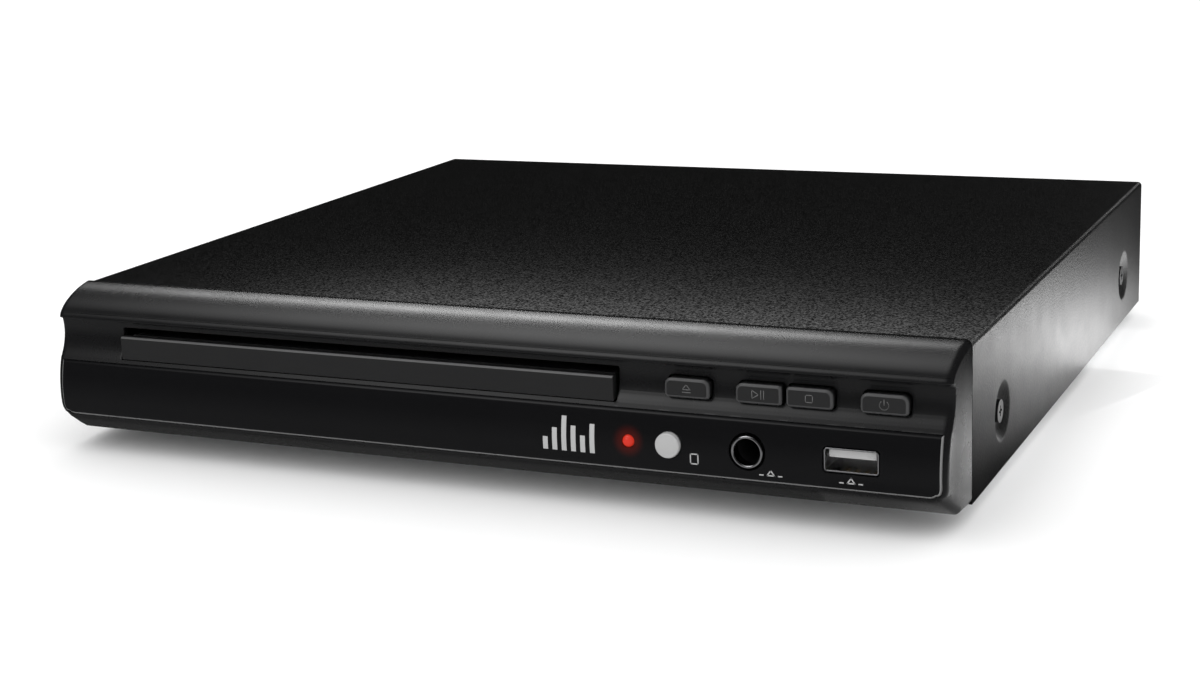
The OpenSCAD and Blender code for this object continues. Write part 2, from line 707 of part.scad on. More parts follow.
module usb_tongue() {
  wall = 0.35 + 0.05;
  low = front_board_low + board_t;
  color([0.7, 0.7, 0.7]) {
    bar([usb_x - usb_w/2 + wall, -4, socket_z - usb_h/2 + wall],
        [usb_x + usb_w/2 - wall, 2, socket_z + usb_h/2 - wall]);
    bar([usb_x - 5.6, -front_d + 1.6, socket_z + 0.35], [usb_x + 5.6, -3, socket_z + 2.15]);
    bar([usb_x - usb_w/2, 2, low], [usb_x + usb_w/2, 4.5, socket_z + usb_h/2]);
    bar([usb_x - usb_w/2, -wall_back + 3.2, low], [usb_x + usb_w/2, 2 + eps, socket_z - usb_h/2]);
  }
}

// Disc tray

module tray_door() {
  color([0.12, 0.12, 0.125]) {
    bar([disc_x - door_w/2, -door_face, door_low],
        [disc_x + door_w/2, -door_face + door_t, door_low + door_h]);
    bar([disc_x - door_w/2 + 8, -door_face + door_t - eps, door_low + 1.2],
        [disc_x + door_w/2 - 8, tray_front, door_low + door_h - 1.6]);
  }
}
module disc_tray() {
  rail = 5;
  root = disc_x + tray_w/2 - 1.9*tray_module - eps;
  teeth_from = drive_y - 6;
  teeth = floor((tray_travel + 12)/(PI*tray_module));
  first = drive_y + PI*tray_module/2 - 3*PI*tray_module;
  color([0.1, 0.1, 0.105]) {
    difference() {
      bar([disc_x - tray_w/2, tray_front, tray_low], [disc_x + tray_w/2, tray_rear, tray_top]);
      translate([disc_x, disc_y, tray_top - well_depth]) cylinder(h = 10, r = well_d/2);
      translate([disc_x, disc_y, tray_top - well_depth - small_well_depth])
        cylinder(h = 10, r = small_well_d/2);
      translate([disc_x, disc_y, tray_low - 1]) cylinder(h = 20, r = slot_half);
      bar([disc_x - slot_half, disc_y, tray_low - 1], [disc_x + slot_half, tray_rear + 1, tray_top + 1]);
      bar([disc_x - tray_w/2 + rail, tray_front + tray_wall, tray_low - 1],
          [disc_x + tray_w/2 - rail - 2.5, tray_rear + 1, tray_top - well_depth - small_well_depth - tray_floor]);
      bar([root, teeth_from - 4, tray_low - 1], [disc_x + tray_w/2 + 1, tray_rear + 1, rack_high]);
    }
    for (i = [0:teeth - 1]) translate([rack_x, first + i*PI*tray_module, tray_low])
      rack_tooth(tray_module, rack_high - tray_low + eps);
  }
}

// Loader frame

ledge_w = 4;
ledge_t = 1.8;
hook_y = [22, 84, 146];
hook_w = 3.5;
side_deck_front = jack_rear + 0.8;
ear_w = 5;
cam_stud_x = [-22, 22];
cam_stud_y = 28;
module at_disc_middle() {
  translate([disc_x, 0, 0]) children();
}
module loader_frame() {
  ledge_low = tray_low - run_gap - ledge_t;
  window_r = gear_module*(wheel_teeth/2 + 0.9) + 0.7;
  color([0.22, 0.22, 0.23]) difference() {
    union() {
      difference() {
        bar([disc_x - frame_out, frame_front, frame_low], [disc_x + frame_out, frame_rear, frame_high]);
        bar([disc_x - frame_in, frame_front - 1, frame_low - 1],
            [disc_x + frame_in, frame_rear - loader_wall, frame_high + 1]);
      }
      bar([disc_x - frame_out + 0.5, frame_front, deck_low],
          [disc_x + frame_out - 0.5, frame_rear - 0.5, deck_high]);
      bar([disc_x + frame_in, side_deck_front, deck_low], [side_deck_end, side_deck_rear, deck_high]);
      bar([disc_x + frame_in, side_deck_rear - loader_wall, frame_low + 4],
          [side_deck_end, side_deck_rear, deck_low + eps]);
      at_disc_middle() both_sides() {
        bar([frame_in - ledge_w, frame_front, ledge_low],
            [frame_in + eps, frame_rear - 1, ledge_low + ledge_t]);
        for (y = hook_y) bar([frame_in - hook_w, y, tray_top + run_gap],
            [frame_in + eps, y + 8, frame_high]);
        for (y = leg_y) translate([frame_in - leg_inset, y, frame_low])
          cylinder(h = deck_low - frame_low + eps, r = leg_d/2);
        bar([opening_half + eps, pivot_y - 5, pivot_z - 4],
            [opening_half + ear_w, pivot_y + 5, deck_low + eps]);
      }
      at_disc_middle() for (x = cam_stud_x) translate([x, cam_stud_y, deck_high - eps])
        cylinder(h = 2.6, r = 1.5);
      translate([drive_x, drive_y, deck_high - eps])
        cylinder(h = drive_low + drive_t + 0.4 - deck_high, r = gear_post_r);
      translate([pulley_x, pulley_y, deck_high - eps])
        cylinder(h = pulley_low + pulley_t + 0.5 - deck_high, r = gear_post_r);
      translate([drive_x, drive_y, deck_high - eps]) ring(3, gear_post_r - 0.2, wheel_low - run_gap - deck_high);
      translate([pulley_x, pulley_y, deck_high - eps]) ring(3, gear_post_r - 0.2, wheel_low - run_gap - deck_high);
    }
    at_disc_middle() {
      bar([-opening_half, opening_front, deck_low - 1], [opening_half, opening_rear, deck_high + 1]);
      translate([-opening_half - ear_w - 1, pivot_y, pivot_z]) rotate([0, 90, 0])
        cylinder(h = 2*(opening_half + ear_w + 1), r = pivot_r + shaft_gap);
      both_sides() for (y = leg_y) translate([frame_in - leg_inset, y, 0])
        cylinder(h = deck_high + 1, r = 1.4);
    }
    // the gears reach under the tray through a window in the right wall and its ledge
    translate([drive_x, drive_y, deck_high + eps]) difference() {
      cylinder(h = tray_top - deck_high, r = window_r);
      translate([0, 0, -1]) cylinder(h = 20, r = 3);
    }
    translate([motor_x, motor_y, deck_low - 1]) cylinder(h = deck_t + 2, r = 3.2);
    for (s = [-1, 1]) translate([motor_x + s*7, motor_y, deck_low - 1]) cylinder(h = deck_t + 2, r = 1.2);
  }
}
module loader_bushes() {
  color([0.05, 0.05, 0.05]) for (p = leg_points) translate([p[0], p[1], sheet_t])
    ring(leg_d/2 + 1, 1.6, frame_low - sheet_t);
}
module inside_screws() {
  color(steel) {
    for (p = leg_points) translate([p[0], p[1], 0]) {
      translate([0, 0, deck_high]) cylinder(h = 1.6, r = 3);
      translate([0, 0, -0.8]) cylinder(h = deck_high + 0.8 + eps, r = 1.25);
    }
    for (p = board_posts) translate([p[0], p[1], post_top(p) + board_t]) {
      cylinder(h = 1.6, r = 2.6);
      translate([0, 0, -5]) cylinder(h = 5 + eps, r = 1.05);
    }
  }
}
module clamp_bridge() {
  color(steel) difference() {
    union() {
      bar([disc_x - frame_out, disc_y - bridge_w/2, bridge_low],
          [disc_x + frame_out, disc_y + bridge_w/2, bridge_low + bridge_t]);
      for (s = [-1, 1]) translate([disc_x, disc_y + s*(bridge_w/2 - 0.7), bridge_low + bridge_t - eps])
        translate([-frame_in + 6, -0.7, 0]) cube([2*frame_in - 12, 1.4, 1.6]);
    }
    translate([disc_x, disc_y, bridge_low - 1]) cylinder(h = 6, r = bridge_hole_r);
  }
}
module disc_clamp() {
  brim_low = bridge_low + bridge_t + 0.2;
  color([0.85, 0.85, 0.83]) translate([disc_x, disc_y, 0]) difference() {
    union() {
      translate([0, 0, clamp_low]) cylinder(h = bridge_low - 0.5 - clamp_low, r = 14);
      translate([0, 0, clamp_low + eps]) cylinder(h = brim_low - clamp_low + 0.5, r = bridge_hole_r - 0.8);
      translate([0, 0, brim_low]) cylinder(h = 1.6, r = 14.5);
    }
    translate([0, 0, clamp_low - 1]) cylinder(h = 1 + 1.9, r = 8.6);
    translate([0, 0, bridge_low + 0.4]) cylinder(h = 10, r = 7.6);
  }
}
module clamp_ring() {
  color(steel) translate([disc_x, disc_y, bridge_low + 0.4]) ring(7.5, 2.6, 1.8);
}

// Tray drive

module drive_gear() {
  color([0.9, 0.9, 0.86]) translate([drive_x, drive_y, 0]) difference() {
    union() {
      translate([0, 0, wheel_low]) gear(gear_module, wheel_teeth, wheel_t, mesh_angle);
      translate([0, 0, wheel_low + wheel_t - eps])
        cylinder(h = drive_low - wheel_low - wheel_t + 2*eps, r = 3.4);
      translate([0, 0, drive_low]) gear(tray_module, drive_teeth, drive_t, 0);
    }
    translate([0, 0, wheel_low - 1]) cylinder(h = 20, r = gear_post_r + shaft_gap);
  }
}
module pulley_gear() {
  color([0.86, 0.86, 0.9]) translate([pulley_x, pulley_y, 0]) difference() {
    union() {
      translate([0, 0, wheel_low]) gear(gear_module, pulley_teeth, pulley_low - wheel_low + eps, mesh_angle + 180 + 180/pulley_teeth);
      translate([0, 0, pulley_low]) pulley(pulley_r);
    }
    translate([0, 0, wheel_low - 1]) cylinder(h = 20, r = gear_post_r + shaft_gap);
  }
}
// A belt pulley: the groove takes the belt with room on each side
module pulley(r) {
  flange = (pulley_t - belt_t - 0.4)/2;
  groove_r = r - belt_t;
  cylinder(h = flange, r = r);
  cylinder(h = pulley_t, r = groove_r);
  translate([0, 0, pulley_t - flange]) cylinder(h = flange, r = r);
}
module motor_pulley() {
  color([0.6, 0.6, 0.55]) translate([motor_x, motor_y, 0]) union() {
    translate([0, 0, pulley_low]) pulley(motor_pulley_r);
    translate([0, 0, deck_low - 4]) cylinder(h = pulley_low - deck_low + 4 + eps, r = 1);
  }
}
module belt_path(extra) {
  hull() {
    circle(r = pulley_r - belt_t + 0.2 + extra);
    translate([motor_dx, motor_dy]) circle(r = motor_pulley_r - belt_t + 0.2 + extra);
  }
}
module drive_belt() {
  color([0.05, 0.05, 0.05]) translate([pulley_x, pulley_y, pulley_low + (pulley_t - belt_t)/2])
    linear_extrude(belt_t) difference() {
    belt_path(belt_t);
    belt_path(0);
  }
}
module tray_motor() {
  low = deck_low - 11;
  color(steel) translate([motor_x, motor_y, 0]) difference() {
    union() {
      translate([0, 0, low]) cylinder(h = deck_low - low, r = tray_motor_r);
      translate([0, 0, deck_low - eps]) cylinder(h = 1.5, r = 3);
      translate([0, 0, low - 1]) cylinder(h = 1 + eps, r = 3);
    }
    translate([0, 0, deck_low - 4.2]) cylinder(h = 8, r = 1 + shaft_gap);
  }
}
module cam_slider() {
  plate_half_w = 30;
  plate_z = deck_high + run_gap;
  cam_y0 = cam_pin_y - 0.3;
  cam_y1 = cam_pin_y + 2.2;
  slot_r = cam_pin_r + 0.35;
  slot_len = norm([cam_travel, cam_drop]);
  slot_angle = atan(cam_drop/cam_travel);
  color([0.9, 0.88, 0.8]) at_disc_middle() difference() {
    union() {
      bar([-plate_half_w, cam_stud_y - 4, plate_z], [plate_half_w, cam_y1, plate_z + 1.5]);
      bar([-cam_travel - 6, cam_y0, cam_pin_z - cam_drop - slot_r - 1.6], [6, cam_y1, plate_z + eps]);
    }
    for (x = cam_stud_x) {
      bar([x - cam_travel, cam_stud_y - 1.5 - run_gap, deck_high],
          [x, cam_stud_y + 1.5 + run_gap, plate_z + 3]);
      for (x2 = [x - cam_travel, x]) translate([x2, cam_stud_y, deck_high])
        cylinder(h = 4, r = 1.5 + run_gap);
    }
    translate([0, cam_y1 + 1, cam_pin_z]) rotate([90, 0, 0]) rotate([0, 0, slot_angle]) linear_extrude(8) {
      circle(r = slot_r);
      translate([-slot_len, 0]) circle(r = slot_r);
      translate([-slot_len, -slot_r]) square([slot_len, 2*slot_r]);
    }
  }
}

// Traverse

module traverse_chassis() {
  sled_half = 27;
  wall_low = 10;
  color([0.16, 0.16, 0.17]) at_disc_middle() difference() {
    union() {
      bar([-plate_half, plate_front, plate_low], [plate_half, plate_rear, plate_high]);
      both_sides() bar([plate_half - 1.5, plate_front, wall_low],
          [plate_half, plate_rear, plate_low + eps]);
      bar([-plate_half, plate_front, wall_low], [plate_half, plate_front + 1.5, plate_low + eps]);
      bar([-plate_half, plate_rear - 1.5, wall_low], [plate_half, plate_rear, plate_low + eps]);
      both_sides() for (y = [rod_front, rod_rear - 4])
        bar([rod_x - 4, y, rod_z - 3.5], [rod_x + 4, y + 4, plate_low + eps]);
      rod_forward(0, plate_front + eps, cam_pin_z, plate_front - cam_pin_y + eps, cam_pin_r);
      both_sides() translate([plate_half - eps, pivot_y, pivot_z]) rotate([0, 90, 0])
        cylinder(h = opening_half + ear_w - plate_half - 0.5, r = pivot_r);
      translate([feed_x - disc_x, feed_y, plate_high - eps])
        cylinder(h = feed_rack_low + feed_rack_t - plate_high, r = feed_post_r);
    }
    bar([-sled_half, sled_front - 1, plate_low - 1], [sled_half, rod_rear - 5, plate_high + 1]);
    translate([0, disc_y, plate_low - 1]) cylinder(h = 5, r = 3.3);
    both_sides() translate([rod_x, rod_front - 1, rod_z]) rotate([-90, 0, 0])
      cylinder(h = rod_rear - rod_front + 2, r = rod_d/2 + 0.02);
    translate([feed_motor_x - disc_x, feed_motor_y, plate_low - 1]) cylinder(h = 5, r = 2.3);
  }
}
module guide_rods() {
  color("silver") at_disc_middle() both_sides()
    translate([rod_x, rod_front + 0.3, rod_z]) rotate([-90, 0, 0])
      cylinder(h = rod_rear - rod_front - 0.6, r = rod_d/2);
}
module spindle_motor() {
  color(steel) translate([disc_x, disc_y, 0]) difference() {
    union() {
      translate([0, 0, motor_low]) cylinder(h = plate_low - motor_low, r = motor_r);
      translate([0, 0, plate_low - eps]) cylinder(h = 2, r = 3);
    }
    translate([0, 0, motor_low + 1]) cylinder(h = 20, r = 1 + shaft_gap);
  }
}
module spindle_shaft() {
  color("silver") translate([disc_x, disc_y, motor_low + 1.2])
    cylinder(h = disc_seat_z - motor_low - 1.2, r = 1);
}
module turntable() {
  cone_h = 2.4;
  color([0.2, 0.2, 0.21]) translate([disc_x, disc_y, 0]) difference() {
    union() {
      translate([0, 0, disc_seat_z - 1.6]) cylinder(h = 1.6, r = 14.5);
      translate([0, 0, disc_seat_z - 6]) cylinder(h = 4.5, r = 6);
      translate([0, 0, disc_seat_z - eps]) cylinder(h = cone_h, r1 = 7.4, r2 = 5.6);
    }
    translate([0, 0, disc_seat_z - 7]) cylinder(h = 7, r = 1.01);
    translate([0, 0, disc_seat_z + cone_h - 1.2]) cylinder(h = 3, r = 3.5);
  }
}
module pickup_sled() {
  half = 24.5;
  low = 10.2;
  top = 24;
  rear = sled_front + sled_len;
  arm_from = lens_y - 6;
  arm_to = feed_y + 3;
  teeth = floor((arm_to - arm_from - 1)/(PI*gear_module));
  first = feed_y - PI*gear_module/2;
  color([0.3, 0.3, 0.31]) at_disc_middle() difference() {
    union() {
      bar([-half, sled_front, low], [half, rear, plate_high]);
      bar([-13, sled_front + 2, plate_high - eps], [13, lens_y + 9, top]);
      bar([12, arm_from, feed_rack_low],
          [feed_rack_x - disc_x - 1.1*gear_module, arm_to, feed_rack_low + feed_rack_t]);
      for (i = [0:teeth - 1]) if (first - i*PI*gear_module > arm_from + 1)
        translate([feed_rack_x - disc_x, first - i*PI*gear_module, feed_rack_low])
          rack_tooth(gear_module, feed_rack_t);
    }
    both_sides() translate([rod_x, sled_front - 1, rod_z]) rotate([-90, 0, 0])
      cylinder(h = sled_len + 2, r = rod_d/2 + shaft_gap);
    translate([0, lens_y, top - 3]) cylinder(h = 10, r = 5);
  }
}
module pickup_lens() {
  color([0.3, 0.4, 0.6]) translate([disc_x, lens_y, 0]) {
    translate([0, 0, 21]) cylinder(h = 3, r = 4.6);
    translate([0, 0, 24 - eps]) cylinder(h = 0.6, r = 3.2);
    translate([0, 0, 24.5]) cylinder(h = 0.7, r1 = 2.6, r2 = 1.8);
  }
}
module feed_motor() {
  color(steel) translate([feed_motor_x, feed_motor_y, 0]) difference() {
    union() {
      translate([0, 0, plate_low - feed_motor_h]) cylinder(h = feed_motor_h, r = feed_motor_r);
      translate([0, 0, plate_low - eps]) cylinder(h = plate_t, r = 2.1);
    }
    translate([0, 0, plate_low - 4.2]) cylinder(h = 8, r = 0.75 + shaft_gap);
  }
}
module feed_pinion() {
  color([0.9, 0.9, 0.86]) translate([feed_motor_x, feed_motor_y, 0]) {
    translate([0, 0, feed_wheel_low])
      gear(gear_module, motor_teeth, feed_wheel_t, feed_mesh_angle + 180 + 180/motor_teeth);
    translate([0, 0, plate_low - 4]) cylinder(h = feed_wheel_low - plate_low + 4 + eps, r = 0.75);
  }
}
module feed_gear() {
  color([0.9, 0.9, 0.86]) translate([feed_x, feed_y, 0]) difference() {
    union() {
      translate([0, 0, feed_wheel_low]) gear(gear_module, feed_wheel_teeth, feed_wheel_t, feed_mesh_angle);
      translate([0, 0, feed_wheel_low + feed_wheel_t - eps])
        gear(gear_module, feed_pinion_teeth, feed_rack_low + feed_rack_t - feed_wheel_low - feed_wheel_t + eps, 0);
    }
    translate([0, 0, feed_wheel_low - 1]) cylinder(h = 20, r = feed_post_r + shaft_gap);
  }
}

// Boards

module main_board() {
  color(board_green) difference() {
    bar([half_w - 7 - main_board_w, main_board_front, board_z], [half_w - 7, rear_y - 1.5, board_top]);
    for (p = board_posts) if (p[1] > 30 && p[0] > 0) translate([p[0], p[1], 0]) cylinder(h = 20, r = 1.4);
  }
}
main_x = half_w - 7 - main_board_w/2;
chips = [[0, 34, 20, 20], [22, 30, 12, 14], [-22, 28, 9, 14], [-20, 62, 14, 9], [14, 60, 8, 8]];
module main_chips() {
  color([0.06, 0.06, 0.065]) for (c = chips)
    translate([main_x + c[0] - c[2]/2, main_board_front + c[1] - c[3]/2, board_top])
      cube([c[2], c[3], 1.6]);
}
cans = [[-28, 10], [-20, 46], [24, 48], [28, 72], [-4, 60]];
module main_capacitors() {
  color([0.1, 0.12, 0.3]) for (c = cans)
    translate([main_x + c[0], main_board_front + c[1], board_top]) cylinder(h = 9, r = 3.2);
}
module av_socket_block() {
  color([0.07, 0.07, 0.07]) difference() {
    bar([av_x - socket_block_w/2, rear_y - 15, board_top],
        [av_x + socket_block_w/2, rear_y - sheet_t - fit_gap, socket_block_top]);
    for (c = [-1:1], z = barrel_rows)
      rod_forward(av_x + c*barrel_pitch, rear_y + 1, z, 5, barrel_neck_r + 0.02);
  }
}
module at_barrels() {
  for (c = [-1:1], z = barrel_rows) translate([av_x + c*barrel_pitch, rear_y, z]) rotate([-90, 0, 0])
    children();
}
module av_socket_barrels() {
  neck_in = barrel_neck_r - barrel_wall;
  color("silver") at_barrels() {
    translate([0, 0, -4]) ring(barrel_neck_r, neck_in, 4 + barrel_seat + 0.4);
    translate([0, 0, barrel_seat]) ring(barrel_d/2, neck_in, 0.4);
    translate([0, 0, barrel_seat]) ring(barrel_d/2, barrel_d/2 - barrel_wall, barrel_out - barrel_seat);
  }
}
module av_socket_inserts() {
  core_in = barrel_seat + 0.4 + 0.02;
  color("gold") at_barrels() {
    translate([0, 0, core_in]) ring(barrel_d/2 - barrel_wall - 0.05, 1.65, barrel_out - 1 - core_in);
    translate([0, 0, -4]) ring(barrel_neck_r - barrel_wall - 0.05, 1.65, 4 + core_in + eps);
    translate([0, 0, 0.05]) ring(barrel_d/2 + 1.6, barrel_neck_r + 0.05, barrel_seat - 0.1);
  }
}
module power_board() {
  color([0.45, 0.3, 0.12]) difference() {
    bar([power_x - power_board_w/2, power_y - power_board_d/2, board_z],
        [power_x + power_board_w/2, power_y + power_board_d/2, board_top]);
    for (p = board_posts) if (p[0] < 0) translate([p[0], p[1], 0]) cylinder(h = 20, r = 1.4);
  }
}
module transformer() {
  color([0.75, 0.65, 0.2]) translate([power_x + 4, power_y, board_top]) {
    difference() {
      translate([-11, -5, 0]) cube([22, 10, 17]);
      for (s = [-1, 1]) translate([s*6 - 2, -6, 3]) cube([4, 12, 11]);
    }
    translate([-8, -8, 3]) cube([16, 16, 11]);
  }
}
module power_parts() {
  color([0.12, 0.12, 0.14]) translate([power_x, power_y, board_top]) {
    translate([-18, 3, 0]) cylinder(h = 22, r = 6.3);
    translate([26, -6, 0]) cylinder(h = 13, r = 4);
    translate([36, -4, 0]) cylinder(h = 13, r = 4);
    translate([32, 8, 0]) cylinder(h = 11, r = 3.2);
    translate([-34, -11, 0]) cube([14, 7, 10]);
    translate([17.5, -14, 0]) cube([1.5, 24, 20]);
    translate([-44, -9, 0]) cube([3, 3, 6]);
    translate([-44, 6, 0]) cube([3, 3, 6]);
    translate([-42.5, -9.8, 4]) rotate([-90, 0, 0]) cylinder(h = 19.6, r = 2.3);
  }
}
module cord_gland() {
  color([0.06, 0.06, 0.06]) translate([gland_x, rear_y, gland_z]) rotate([-90, 0, 0]) difference() {
    union() {
      translate([0, 0, -4]) cylinder(h = 6, r = gland_bore/2 + 1.8);
      translate([0, 0, fit_gap]) cylinder(h = 1.9, r = gland_bore/2 + 3.4);
      translate([0, 0, 1.9]) cylinder(h = 5, r1 = gland_bore/2 + 2.6, r2 = gland_bore/2 + 1.6);
      translate([0, 0, -5.5]) cylinder(h = 1.6 + eps, r = gland_bore/2 + 1.6);
    }
    translate([0, 0, -7]) cylinder(h = 16, r = gland_bore/2);
  }
}
// Flat cables that rise from one board, run level and come down on the other
cable_t = 0.5;
cable_rise = 5;
module cable_profile(a, low_a, b, low_b, level) {
  polygon([
    [a, low_a], [a + cable_t, low_a], [a + cable_t, level - cable_t], [b - cable_t, level - cable_t],
    [b - cable_t, low_b], [b, low_b], [b, level], [a, level]
  ]);
}
module board_cables() {
  level = board_top + cable_rise;
  color([0.85, 0.85, 0.82]) {
    translate([usb_x - 6, 0, 0]) along_x(16)
      cable_profile(20, front_board_low + board_t, main_board_front + 4, board_top, level);
    translate([0, rear_y - 17, 0]) forward(0, 10) cable_profile(
      power_x + power_board_w/2 - 5, board_top, half_w - 7 - main_board_w + 9, board_top, level);
  }
}

// Moves a piece from the seam's frame to the middle of the footprint, with the feet's undersides at z = 0
module seated() {
  translate([0, -mid_y, foot_h]) children();
}

seated() top_cover();
seated() floor_chassis();
seated() rear_panel();
seated() feet();
seated() cover_screws();
seated() front_bezel();
seated() lower_panel();
seated() receiver_cap();
seated() status_light();
seated() key(0);  // eject_key
seated() key(1);  // play_key
seated() key(2);  // stop_key
seated() key(3);  // power_key
seated() plunger(0);  // eject_plunger
seated() plunger(1);  // play_plunger
seated() plunger(2);  // stop_plunger
seated() plunger(3);  // power_plunger
seated() key_board();
seated() tact_switches();
seated() infrared_receiver();
seated() microphone_board();
seated() microphone_jack();
seated() jack_ring();
seated() usb_shell();
seated() usb_tongue();
seated() tray_door();
seated() disc_tray();
seated() loader_frame();
seated() loader_bushes();
seated() inside_screws();
seated() clamp_bridge();
seated() disc_clamp();
seated() clamp_ring();
seated() drive_gear();
seated() pulley_gear();
seated() motor_pulley();
seated() drive_belt();
seated() tray_motor();
seated() cam_slider();
seated() traverse_chassis();
seated() guide_rods();
seated() spindle_motor();
seated() spindle_shaft();
seated() turntable();
seated() pickup_sled();
seated() pickup_lens();
seated() feed_motor();
seated() feed_pinion();
seated() feed_gear();
seated() main_board();
seated() main_chips();
seated() main_capacitors();
seated() av_socket_block();
seated() av_socket_barrels();
seated() av_socket_inserts();
seated() power_board();
seated() transformer();
seated() power_parts();
seated() cord_gland();
seated() board_cables();
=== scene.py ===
# %% [markdown]
# # A disc player with a microphone input
#
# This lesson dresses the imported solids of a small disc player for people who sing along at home. The solids
# come from a CAD model and stay where they are. Blender adds what shows from a step away: the rounded edges,
# the pressed dishes in the cover, the powder coat, the polished panel and the light.
#
# All lengths of the player are in millimetres. The function `at` turns them into Blender's metres. Only the
# studio round it is written in metres.

# %% Load the frame
import bpy
import bmesh
import json
import math
from mathutils import Matrix, Vector


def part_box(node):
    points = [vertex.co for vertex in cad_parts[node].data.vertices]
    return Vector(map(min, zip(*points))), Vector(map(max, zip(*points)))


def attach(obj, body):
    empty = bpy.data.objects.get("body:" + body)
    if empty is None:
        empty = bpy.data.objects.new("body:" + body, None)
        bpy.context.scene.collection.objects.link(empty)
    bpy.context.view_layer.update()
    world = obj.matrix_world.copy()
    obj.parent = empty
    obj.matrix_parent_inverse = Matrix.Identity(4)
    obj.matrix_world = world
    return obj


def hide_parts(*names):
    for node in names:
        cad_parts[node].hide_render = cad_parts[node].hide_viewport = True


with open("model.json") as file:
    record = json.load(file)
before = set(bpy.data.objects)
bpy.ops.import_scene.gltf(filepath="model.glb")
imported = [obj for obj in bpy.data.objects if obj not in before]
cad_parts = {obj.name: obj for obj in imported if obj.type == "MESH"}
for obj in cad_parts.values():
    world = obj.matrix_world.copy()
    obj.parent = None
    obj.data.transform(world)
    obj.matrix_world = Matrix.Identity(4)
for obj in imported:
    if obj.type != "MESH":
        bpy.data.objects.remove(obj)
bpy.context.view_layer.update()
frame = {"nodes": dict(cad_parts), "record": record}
MM = 0.001
seam_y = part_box("top_cover")[0][1]
floor_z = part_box("floor_chassis")[0][2]


def at(x, y, z):
    return Vector((x * MM, seam_y + y * MM, floor_z + z * MM))


def millimetres(point):
    return (point[0] / MM, (point[1] - seam_y) / MM, (point[2] - floor_z) / MM)


# %% [markdown]
# ## Camera
#
# The photograph looks down on the front right corner from close by, with a slight roll. The angles and the
# distance were found from the case's straight edges. A real photographer would call this a 61 mm lens.

# %% Camera
azimuth = math.radians(24.98)
elevation = math.radians(14.07)
roll = math.radians(-2.35)
camera_distance = 590.69
aim = (0, 80, 20)
slide_right, slide_up = -4.82, -7.76
back = Vector((math.sin(azimuth) * math.cos(elevation), -math.cos(azimuth) * math.cos(elevation),
               math.sin(elevation)))
level_right = Vector((0, 0, 1)).cross(back).normalized()
level_up = back.cross(level_right)
right = math.cos(roll) * level_right + math.sin(roll) * level_up
up = math.cos(roll) * level_up - math.sin(roll) * level_right
camera_data = bpy.data.cameras.new("camera")
camera_data.sensor_width = 36
camera_data.lens = 61.3
camera_data.clip_end = 20
camera = bpy.data.objects.new("camera", camera_data)
camera.matrix_world = Matrix((right, up, back)).transposed().to_4x4()
camera.location = at(*aim) + (camera_distance * back + slide_right * right + slide_up * up) * MM
bpy.context.collection.objects.link(camera)
bpy.context.scene.camera = camera
print("camera at", [round(v, 3) for v in camera.location])

# %% [markdown]
# ## Helpers for nodes and objects
#
# The world, the glow cards and every finish are built from shader nodes. Adding a node, setting it up and
# linking it takes many lines when each is written out, so two helpers do it. A third turns a bmesh into an
# object with a material.

# %% Helpers for nodes and objects
def add_node(tree, kind, sockets=None, **settings):
    """Adds a shader node. settings are its own properties, and sockets holds the values of its inputs."""
    node = tree.nodes.new("ShaderNode" + kind)
    for name, value in settings.items():
        setattr(node, name, value)
    for socket, value in (sockets or {}).items():
        node.inputs[socket].default_value = value
    return node


def wire(tree, *wires):
    """Links sockets. Each wire is (from node, its output, to node, its input)."""
    for source, output, target, entry in wires:
        tree.links.new(source.outputs[output], target.inputs[entry])


def new_material(name):
    material = bpy.data.materials.new(name)
    material.use_nodes = True
    return material


def to_object(name, mesh, material):
    """Turns a bmesh into an object at the origin, and frees the bmesh."""
    data = bpy.data.meshes.new(name)
    mesh.to_mesh(data)
    mesh.free()
    data.materials.append(material)
    thing = bpy.data.objects.new(name, data)
    bpy.context.collection.objects.link(thing)
    return thing


print("node helpers ready")

# %% [markdown]
# ## Studio
#
# The floor is a plain pale sheet. It would show up as a grey haze in the black plastic, so glossy rays don't
# see it, as when a photographer hangs black card in front of the product. What the black plastic mirrors is
# a dim room and some glow cards instead: they draw the long highlights on the brow and the glow on the right
# side. One narrow strip of real light grazes the front edge of the cover.

# %% Floor
floor_size = 12.0
table_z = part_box("feet")[0][2]
pale = (0.95, 0.95, 0.95, 1)
floor_paint = new_material("pale_floor")
floor_shader = floor_paint.node_tree.nodes["Principled BSDF"]
floor_shader.inputs["Base Color"].default_value = pale
floor_shader.inputs["Roughness"].default_value = 0.8
floor_mesh = bmesh.new()
bmesh.ops.create_grid(floor_mesh, x_segments=1, y_segments=1, size=floor_size / 2)
floor = to_object("studio_floor", floor_mesh, floor_paint)
floor.location = (0, 0, table_z)
floor.visible_glossy = False
print("floor at", round(table_z, 4))

